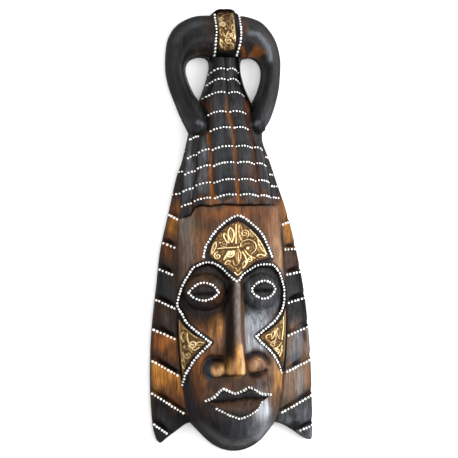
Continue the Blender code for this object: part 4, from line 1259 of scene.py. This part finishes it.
def eye_stain_and_shade(colour, x, y):
    """The colours with the dark stain and painted shade of the eye hollows, painted sheen in them, dark lids
    and slits, and the black beside the brows.
    """
    left = ease(depth_inside(x, y, smooth_run(LEFT_HOLLOW)), -1.2, 0.8) * ease(y, -112, -84)
    right = ease(depth_inside(x, y, smooth_run(RIGHT_HOLLOW)), -1.2, 0.8) * ease(y, -106, -84)
    hollow = np.maximum(left, right)
    # Dark stain and painted shade over the eye hollows
    colour = washed(colour, "soot_and_shade", 0.96 * hollow)
    colour = patched(colour, x, y, EYE_PATCHES, hollow)
    for lids in (LEFT_LIDS, RIGHT_LIDS):
        share = almond_share(x, y, lids)
        slit = bell(y - lids[2] + SLIT_DROP, SLIT_SOOT_WIDTH) * ease(share, 0.2, 0.6)
        colour = washed(colour, "charcoal", 0.8 * ease(share, 0.0, 0.25))
        colour = washed(colour, "soot_and_shade", 0.8 * slit)
    colour = washed(colour, "soot_and_shade", 0.9 * ease(-distance(x, y, smooth_run(BROW_LEFT)), -4.6, -2.6))
    return washed(colour, "soot_and_shade", 0.85 * ease(-distance(x, y, smooth_run(BROW_RIGHT)), -4.2, -2.4))


def nose_stain_and_light(colour, x, y):
    """The colours with the stains, painted highlights and painted shadows of the nose."""
    off = x - smooth_table(y, NOSE_LINE)
    nose = ease(-np.abs(off), -10.8, -9.2) * ease(y, -166, -160) * ease(-y, 48, 60)
    wings = [ease(-oval_reach(x, y, wing), -1.2, -0.9) for wing in (LEFT_WING, RIGHT_WING)]
    colour = patched(colour, x, y, NOSE_PATCHES, np.maximum(nose, np.maximum(*wings)))
    colour = stroked(colour, x, y, NOSE_SHEENS)
    # Painted shade in the groove round the left wing and on the left flank of the nose
    colour = washed(colour, "soot_and_shade", 0.95 * near_line(x, y, LEFT_WING_RING, WING_RING_WIDTH, 4))
    shaded = bell(off + NOSE_SHADE_OFFSET, NOSE_SHADE_WIDTH, 4)
    colour = washed(colour, "soot_and_shade", 0.95 * shaded * ease(-y, 50, 62) * ease(y, -152, -136))
    glint = bell(distance(x, y, smooth_run(LEFT_WING_RING)) - 1.2, WING_GLINT_WIDTH)
    colour = washed(colour, "blue_glint", 0.62 * glint * ease(-x, 22, 30))
    # Painted shade in the creases round the right wing and the right nostril
    fade = 1 - 0.6 * ease(x, 25, 31) * ease(-y, 143, 149)
    for crease in WING_CREASES[1:]:
        colour = washed(colour, "soot_and_shade", 0.92 * near_line(x, y, crease, CREASE_SHADE_WIDTH) * fade)
    return colour


def lip_stain_and_shade(colour, x, y):
    """The colours with the dark waxed lips and painted shade along the line between them."""
    upper, lower = [ease(depth_inside(x, y, lip_loop(lip)), -0.8, 0.6) for lip in (UPPER_LIP, LOWER_LIP)]
    colour = washed(colour, "charcoal", 0.95 * np.maximum(upper, lower))
    colour = washed(colour, "plum", 0.7 * upper * ease(-x, -6, 4))
    colour = washed(colour, "brown", 0.55 * lower * ease(y, -206, -196))
    # Painted shade along the line of the mouth
    return washed(colour, "soot_and_shade", 0.3 * near_line(x, y, MOUTH_LINE, MOUTH_SHADE_WIDTH))


def hair_colours(x, y):
    """The stains and painted sheen of the roped headdress and the neck."""
    colour = patched(plain("charcoal", x), x, y, HAIR_PATCHES)
    width = GROOVE_STAIN_WIDTH + 0.5 * sway(x, y, 22, 41)
    for groove, (name, strength) in zip(HAIR_GROOVES, GROOVE_TONES):
        near = bell(x - table(y, groove), width) * ease(-y, -160, -128)
        colour = washed(colour, name, strength * near)
    return washed(colour, "slate_and_sheen", 0.5 * ease(sway(x, y * 0.4, 15, 43), 0.3, 1.1))


def horn_colours(x, y, foot_shade):
    """The stains and painted sheen of the ring of horns, with painted shade at its foot, and sooty under the
    band.
    """
    colour = patched(plain("charcoal", x), x, y, HORN_STAINS)
    # Painted shade at the foot of the horns
    colour = washed(colour, "soot_and_shade", 0.9 * foot_shade)
    # Painted sheen and highlights along the horns
    colour = stroked(colour, x, y, HORN_SHEENS)
    return washed(colour, "soot_and_shade", 0.9 * on_band(x, y))


def wood_colours(x, y):
    """The stains, painted shade and painted sheen of the front of the wood at each point."""
    hem = table(x, HEM)
    over_hem = ease(y - hem, -1.2, 0.8)
    face = ease(depth_inside(x, y, FACE_LOOP), -1.0, 1.0) * (1 - over_hem)
    hair = between_bounds(x, y, LEFT_HAIR_BOUND, RIGHT_HAIR_BOUND, 1.0) * over_hem
    horn = ease(depth_inside(x, y, HORN_LOOP), -0.6, 0.6)
    colour = lock_colours(x, y, face, hair)
    colour = laid_over(colour, patched(plain("brown", x), x, y, FACE_PATCHES), face)
    colour = eye_stain_and_shade(colour, x, y)
    for outline in (FOREHEAD_SHEET, LEFT_CHEEK_SHEET, RIGHT_CHEEK_SHEET):
        to_sheet = depth_inside(x, y, sheet_loop(outline))
        colour = washed(colour, "soot_and_shade", 0.93 * ease(to_sheet, -7.2, -4.4) * face)
    colour = lip_stain_and_shade(nose_stain_and_light(colour, x, y), x, y)
    colour = laid_over(colour, hair_colours(x, y), hair)
    # Painted shadow under the hem of the headdress
    hem_shade = bell(y - hem, HEM_SHADE_WIDTH) * ease(x, -56, -50) * ease(-x, -57, -50)
    colour = washed(colour, "soot_and_shade", 0.8 * hem_shade)
    # Painted shade along the inner edge of the horns where their feet lie over the hair
    foot_shade = bell(distance(x, y, HORN_INNER), FOOT_SHADE_WIDTH) * ease(-y, -150, -136)
    colour = washed(colour, "soot_and_shade", foot_shade)
    return laid_over(colour, horn_colours(x, y, foot_shade), horn)


def scroll(cx, cy, radius, turns, start, hand):
    """The points of a spiral that winds inwards."""
    share = np.linspace(0, 1, 26)
    angle = np.radians(start) + hand * turns * 2 * np.pi * share
    reach = radius * (1 - 0.82 * share)
    return np.column_stack([cx + reach * np.cos(angle), cy + reach * np.sin(angle)])


def leaf_edges(ax, ay, bx, by, half):
    """The two bowed edges and the midrib of a leaf between two points."""
    start, end = np.array([ax, ay]), np.array([bx, by])
    along = end - start
    side = np.array([-along[1], along[0]]) / np.hypot(*along)
    share = np.linspace(0, 1, 11)[:, None]
    bow = np.sin(np.pi * share**0.8) * half
    spine = start + along * share
    strokes = [spine + side * bow, spine - side * bow]
    return strokes + [spine[2:9]] if half > 2.5 else strokes


def emboss(x, y, name, loop):
    """The share of the full relief of a sheet at each point, from 0 in its ground to 1 on its ridges."""
    scrolls, leaves, ribs, balls = ORNAMENT[name]
    strokes = [scroll(*item) for item in scrolls]
    for item in leaves:
        strokes += leaf_edges(*item)
    strokes += [smooth_run(rib) for rib in ribs]
    relief = np.zeros(x.shape)
    nearest = np.full(x.shape, 9.0)
    for number, stroke in enumerate(strokes):
        width = RIDGE_WIDTH + RIDGE_WIDTH_SWING * np.sin(number * 2.4)
        near = distance(x, y, stroke)
        nearest = np.minimum(nearest, near / width)
        height = RIDGE_HEIGHT + RIDGE_HEIGHT_SWING * np.sin(number * 1.7)
        relief = np.maximum(relief, height * bell(near, width))
    for cx, cy, radius in balls:
        dome = np.clip(1 - (np.hypot(x - cx, y - cy) / radius) ** 2, 0, 1) ** 0.6
        relief = np.maximum(relief, BALL_HEIGHT * dome)
    mottle = GROUND_MOTTLE * ease(sway(x, y, 3.6, 61), 0.0, 0.9)
    fill = GROUND_HEIGHT + mottle + GROUND_GRAIN * sway(x, y, 1.7, 62)
    relief = np.maximum(relief, fill * ease(nearest, 1.3, 2.2))
    return np.clip(relief, 0, 1) * ease(depth_inside(x, y, loop), 0.1, 1.5)


def embossed_sheet(name, outline, finish):
    """A thin embossed sheet in the place of its plain solid."""
    loop = sheet_loop(outline)
    edge = respaced(loop, SHEET_FINE_SPACING * 1.1)

    def front(x, y):
        top = sheet_seat(x, y) + (CLEARANCE + SHEET_THICKNESS) * steepness(x, y)
        return top - EMBOSS_DEPTH * (1 - emboss(x, y, name, loop))

    def back(x, y):
        return sheet_seat(x, y) + CLEARANCE * steepness(x, y)

    top, mesh = solid_mesh(name + "_dressed", [edge], (SHEET_FINE_SPACING, 2.0), front, back, 1)
    relief = np.zeros(len(mesh.vertices))
    relief[: len(top)] = emboss(top[:, 0], top[:, 1], name, loop)
    carry(mesh, "relief", relief)
    return piece(mesh, name, finish)


def almond(lids):
    """The closed contour of the almond of an eye."""
    left, right, level, top, bottom = lids
    turn = np.linspace(0, 2 * np.pi, 73)[:-1]
    x = (left + right) / 2 + (right - left) / 2 * np.cos(turn)
    lid = np.where(np.sin(turn) > 0, top, bottom)
    return closed_loop(np.column_stack([x, level + (lid - level) * almond_reach(x, lids)]))


def hair_rows():
    """The dotted rows across the ropes of hair, and the short dashes beside them."""
    rows = []
    place = np.linspace(-0.80, 0.80, 15)
    bounds = [LEFT_HAIR_BOUND] + HAIR_GROOVES + [RIGHT_HAIR_BOUND]
    for rope, first in enumerate(FIRST_DOTTED_TIERS):
        for tier in TIER_HEIGHTS[first:]:
            y = tier_line(rope, tier, place) - 1.3
            low, high = table(y, bounds[rope]), table(y, bounds[rope + 1])
            rows.append(np.column_stack([(low + high) / 2 + place * (high - low) / 2, y]))
    for side, bound, levels in EDGE_DASHES:
        for level in levels:
            edge = table(level, bound)
            rows.append(np.array([(edge + side * DASH_START, level + 0.6), (edge + side * DASH_END, level)]))
    return rows


def dotted_lines():
    """All lines of painted dots, with their spacing and the size of their dots."""
    runs = [ARCH, BROW_LEFT, BROW_RIGHT, CHEEK_LEFT, CHEEK_RIGHT, UPPER_LIP_DOTS, LOWER_LIP_DOTS]
    lines = [(smooth_run(run), DOT_SPACING, 1.0) for run in runs]
    lines += [(smooth_run(run), DOT_SPACING * 1.05, 0.95) for run in (BAND_LEFT_DOTS, BAND_RIGHT_DOTS)]
    lines += [(almond(lids), DOT_SPACING, 1.0) for lids in (LEFT_LIDS, RIGHT_LIDS)]
    for outer, inner in LEFT_CUTS + RIGHT_CUTS:
        start, end = np.array(outer), np.array(inner)
        lines.append((np.array([start + (end - start) * 0.06, end]) - (0, 1.2), DOT_SPACING * 1.1, 1.0))
    lines += [(row, DOT_SPACING, HAIR_DOT_SHARE) for row in hair_rows()]
    return lines


def dot_centres(chance):
    """The middles and relative sizes of all dots, set a little unevenly along their lines."""
    centres, shares = [], []
    for path, spacing, share in dotted_lines():
        along = lengths_along(path)
        count = max(int(round(along[-1] / spacing)), 1)
        places = np.arange(count + 1) * along[-1] / count
        if np.allclose(path[0], path[-1]):
            places = places[:-1]
        places = places + chance.normal(0, DOT_DRIFT, len(places))
        run = points_along(path, along, places)
        centres.append(run + chance.normal(0, DOT_WANDER, run.shape))
        shares += [share] * len(run)
    return np.vstack(centres), np.array(shares)


def dome_faces():
    """The triangles of one dome over its rings of corners and its top."""
    faces = []
    for ring in range(len(DOME_RINGS) - 1):
        for k in range(DOME_SIDES):
            a, b = ring * DOME_SIDES + k, ring * DOME_SIDES + (k + 1) % DOME_SIDES
            faces += [(a, b, b + DOME_SIDES), (a, b + DOME_SIDES, a + DOME_SIDES)]
    last = (len(DOME_RINGS) - 1) * DOME_SIDES
    faces += [(last + k, last + (k + 1) % DOME_SIDES, last + DOME_SIDES) for k in range(DOME_SIDES)]
    return faces + [(0, k + 1, k) for k in range(1, DOME_SIDES - 1)]


def painted_dots(finish):
    """Domes of thick white paint, set side by side along their lines."""
    chance = np.random.default_rng(DOT_SEED)
    centres, shares = dot_centres(chance)
    radii = (DOT_RADIUS * shares * chance.uniform(*DOT_SIZES, len(centres)))[:, None]
    turn = np.arange(DOME_SIDES) * 2 * np.pi / DOME_SIDES
    px = [centres[:, :1] + radii * reach * np.cos(turn) for reach, _ in DOME_RINGS]
    py = [centres[:, 1:] + radii * reach * np.sin(turn) * DOT_LENGTH for reach, _ in DOME_RINGS]
    lift = [np.full((len(centres), DOME_SIDES), height) for _, height in DOME_RINGS]
    px = np.hstack(px + [centres[:, :1]])
    py = np.hstack(py + [centres[:, 1:]])
    lift = np.hstack(lift + [np.ones((len(centres), 1))])
    ground = seated_front(px.ravel(), py.ravel()).reshape(px.shape)
    z = ground + lift * (DOT_HEIGHT * radii / DOT_RADIUS) * UNIT
    starts = np.arange(len(centres)) * px.shape[1]
    faces = (np.array(dome_faces())[None] + starts[:, None, None]).reshape(-1, 3)
    points = np.column_stack([px.ravel() * UNIT, py.ravel() * UNIT, z.ravel()])
    return piece(mesh_from("painted_dots", points, faces), None, finish)


class Finish:
    """A material of nodes, with short calls to add and join them."""

    def __init__(self, name):
        self.material = bpy.data.materials.new(name)
        self.material.use_nodes = True
        self.tree = self.material.node_tree
        self.shader = self.tree.nodes["Principled BSDF"]
        self.place = self.add("ShaderNodeTexCoord", {}).outputs["Object"]

    def add(self, kind, inputs, **values):
        """A new node with its properties set and its inputs joined."""
        node = self.tree.nodes.new(kind)
        for key, value in values.items():
            setattr(node, key, value)
        self.feed(node, inputs)
        return node

    def feed(self, node, inputs):
        """Links, or plain values, into the inputs of a node."""
        for key, source in inputs.items():
            if isinstance(source, bpy.types.NodeSocket):
                self.tree.links.new(source, node.inputs[key])
            else:
                node.inputs[key].default_value = source

    def noise(self, stretch, detail=3.0, roughness=0.55, warp=0.0):
        """Noise with its own number of features a metre along each axis."""
        place = self.add("ShaderNodeMapping", {"Scale": stretch, "Vector": self.place}).outputs["Vector"]
        inputs = {"Vector": place, "Scale": 1.0, "Detail": detail, "Roughness": roughness, "Distortion": warp}
        return self.add("ShaderNodeTexNoise", inputs).outputs["Fac"]

    def math(self, operation, first, second=0.5, clamp=False):
        """A sum, product or power of two values."""
        node = self.add("ShaderNodeMath", {0: first, 1: second}, operation=operation, use_clamp=clamp)
        return node.outputs[0]

    def times(self, first, second):
        """A product of two values."""
        return self.math("MULTIPLY", first, second)

    def span(self, value, low, high, start=0.0, end=1.0):
        """A value moved smoothly from one range to another."""
        inputs = {"Value": value, "From Min": low, "From Max": high, "To Min": start, "To Max": end}
        return self.add("ShaderNodeMapRange", inputs, interpolation_type="SMOOTHSTEP").outputs["Result"]

    def mix(self, share, first, second, kind="MIX"):
        """Two colours mixed by a share."""
        inputs = {"Factor": share, "A": first, "B": second}
        return self.add("ShaderNodeMix", inputs, data_type="RGBA", blend_type=kind).outputs["Result"]

    def carried(self, name, output="Fac"):
        """A value stored on the mesh."""
        return self.add("ShaderNodeAttribute", {}, attribute_name=name).outputs[output]

    def bump(self, height, distance, strength=1.0, after=None):
        """A bump of a height in metres."""
        inputs = {"Distance": distance, "Strength": strength, "Height": height}
        if after:
            inputs["Normal"] = after
        return self.add("ShaderNodeBump", inputs).outputs["Normal"]

    def finished(self, inputs):
        """The material, with the inputs of its shader joined."""
        self.feed(self.shader, inputs)
        return self.material


def wood_finish():
    """Open-grained wood under a semi-gloss wax, coloured with its stains and with painted shade and sheen."""
    wood = Finish("stained_wood_with_painted_light")
    pores = wood.span(wood.noise((1000, 60, 1000), 2.0, 0.5, 0.6), 0.56, 0.70)
    fine = wood.span(wood.noise((430, 22, 430), 3.0, 0.6, 1.2), 0.30, 0.72)
    streaks = wood.span(wood.noise((170, 12, 170), 3.0, 0.6, 1.4), 0.32, 0.70)
    clouds = wood.noise((60, 34, 60), 4.0, 0.6, 0.6)
    stain_and_painted_light = wood.carried("stain_and_painted_light", "Color")
    light = wood.mix(0.8, stain_and_painted_light, GRAIN_LIGHT, "MULTIPLY")
    dark = wood.mix(0.85, stain_and_painted_light, GRAIN_DARK, "MULTIPLY")
    colour = wood.mix(streaks, dark, light)
    colour = wood.mix(wood.times(fine, 0.40), colour, dark)
    colour = wood.mix(wood.times(wood.span(clouds, 0.44, 0.68), 0.55), colour, dark)
    colour = wood.mix(wood.times(pores, 0.55), colour, PORE_COLOUR)
    rough = wood.math("ADD", wood.span(streaks, 0, 1, 0.32, 0.44), wood.times(pores, 0.3))
    rough = wood.math("ADD", rough, wood.times(wood.carried("bare"), 0.45), True)
    grain = wood.math("SUBTRACT", wood.times(fine, 0.35), pores)
    swell = wood.bump(wood.noise((150, 70, 150), 2.0, 0.5), 0.0006, 0.55)
    normal = wood.bump(grain, 0.00022, 0.8, swell)
    inputs = {"Base Color": colour, "Roughness": rough, "Specular IOR Level": 0.10, "Normal": normal}
    return wood.finished(inputs)


def brass_finish():
    """Antiqued brass, bright on its ridges and brown in its recesses."""
    brass = Finish("antiqued_brass")
    spots = brass.noise((480, 480, 480), 3.0, 0.6)
    uneven = brass.times(brass.math("SUBTRACT", spots, 0.5), 0.45)
    wear = brass.math("ADD", brass.carried("relief"), uneven, True)
    colour = brass.mix(brass.span(wear, 0.04, 0.45), BRASS_RECESS, BRASS_GROUND)
    return brass.finished({
        "Base Color": brass.mix(brass.span(wear, 0.62, 1.0), colour, BRASS_RIDGE),
        "Metallic": brass.span(wear, 0.0, 0.4, 0.7, 0.95),
        "Roughness": brass.span(wear, 0.1, 0.8, 0.55, 0.34),
        "Normal": brass.bump(spots, 0.0003, 0.6),
    })


def paint_finish():
    """Thick white paint, a little grimy."""
    paint = Finish("white_paint")
    grime = paint.noise((420, 420, 420), 3.0, 0.6)
    colour = paint.mix(paint.span(grime, 0.46, 0.74), PAINT_CLEAN, PAINT_GRIMY)
    normal = paint.bump(grime, 0.00015, 0.5)
    return paint.finished({"Base Color": colour, "Roughness": 0.42, "Normal": normal})


def floor_finish():
    """The plain pale floor."""
    pale = Finish("pale_floor")
    speckle = pale.noise((90, 90, 90), 2.0, 0.5)
    colour = pale.mix(speckle, (0.90, 0.90, 0.90, 1), (0.93, 0.93, 0.93, 1))
    return pale.finished({"Base Color": colour, "Roughness": 0.9})


def dressed_wood(finish):
    """The carved wood in the place of its plainer solid."""
    edges = [respaced(loop, RIM_SPACING) for loop in [WOOD_OUTLINE] + OPENINGS]
    top, mesh = solid_mesh(
        "mask_body_dressed", edges, (FINE_SPACING, BACK_SPACING), seated_front, gouged_back, WALL_ROWS
    )
    places = np.empty(len(mesh.vertices) * 3)
    mesh.vertices.foreach_get("co", places)
    places = places.reshape(-1, 3) / UNIT
    colours = plain("sawn", places)
    rim = sum(len(edge) for edge in edges)
    x, y = places[:, 0], places[:, 1]
    front = np.zeros(len(places), bool)
    front[: len(top)] = True
    colours[front] = wood_colours(x[front], y[front])
    walls = np.arange(len(places)) >= len(places) - rim * (WALL_ROWS - 1)
    colours[walls] = shade("charcoal")
    bare = np.ones(len(places))
    bare[front] = ease(-distance(x[front], y[front], WOOD_EDGE), -11, -2)
    carry(mesh, "stain_and_painted_light", colours)
    carry(mesh, "bare", bare)
    return piece(mesh, "mask_body", finish)


def camera():
    """The camera above the mask, a little to the left of it."""
    lean = np.radians(CAMERA_LEAN)
    away = Vector((-np.sin(lean), 0, np.cos(lean)))
    across = Vector((np.cos(lean), 0, np.sin(lean)))
    level = Matrix((across, Vector((0, 1, 0)), away)).transposed()
    turn = level @ Matrix.Rotation(-np.radians(CAMERA_ROLL), 3, "Z")
    data = bpy.data.cameras.new("camera")
    eye = linked("camera", data)
    placed_at = turn.to_4x4()
    nudge = turn @ Vector((CAMERA_NUDGE[0] * PIXEL, CAMERA_NUDGE[1] * PIXEL, 0))
    placed_at.translation = Vector(CAMERA_TARGET) + away * CAMERA_REACH + nudge
    eye.matrix_world = placed_at
    data.sensor_width = SENSOR_WIDTH
    data.lens = SENSOR_WIDTH * CAMERA_REACH / (IMAGE_WIDTH * PIXEL)
    bpy.context.scene.camera = eye


def soft_light(name, place, size, power, colour):
    """A soft rectangular light aimed at the mask."""
    data = bpy.data.lights.new(name, "AREA")
    data.shape = "RECTANGLE"
    data.size, data.size_y = size
    data.energy = power
    data.color = colour
    lamp = linked(name, data)
    lamp.location = place
    lamp.rotation_euler = (-Vector(place)).to_track_quat("-Z", "Y").to_euler()


def studio():
    """The floor, the white surroundings and the lights."""
    bpy.context.scene.view_settings.view_transform = "Standard"
    mesh = bpy.data.meshes.new("floor")
    corners = [(side * FLOOR_HALF, end * FLOOR_HALF, 0) for side, end in ((-1, -1), (1, -1), (1, 1), (-1, 1))]
    mesh.from_pydata(corners, [], [(0, 1, 2, 3)])
    mesh.materials.append(floor_finish())
    floor = linked("floor", mesh)
    world = bpy.data.worlds.new("white_surroundings")
    world.use_nodes = True
    background = world.node_tree.nodes["Background"]
    background.inputs["Color"].default_value = (1, 1, 1, 1)
    background.inputs["Strength"].default_value = SURROUNDINGS_STRENGTH
    bpy.context.scene.world = world
    for light in STUDIO_LIGHTS:
        soft_light(*light)


def main():
    """Dresses every solid, adds the dots and sets the scene."""
    camera()
    studio()
    dressed_wood(wood_finish())
    brass = brass_finish()
    for name, outline in SHEETS.items():
        embossed_sheet(name, outline, brass)
    painted_dots(paint_finish())


main()
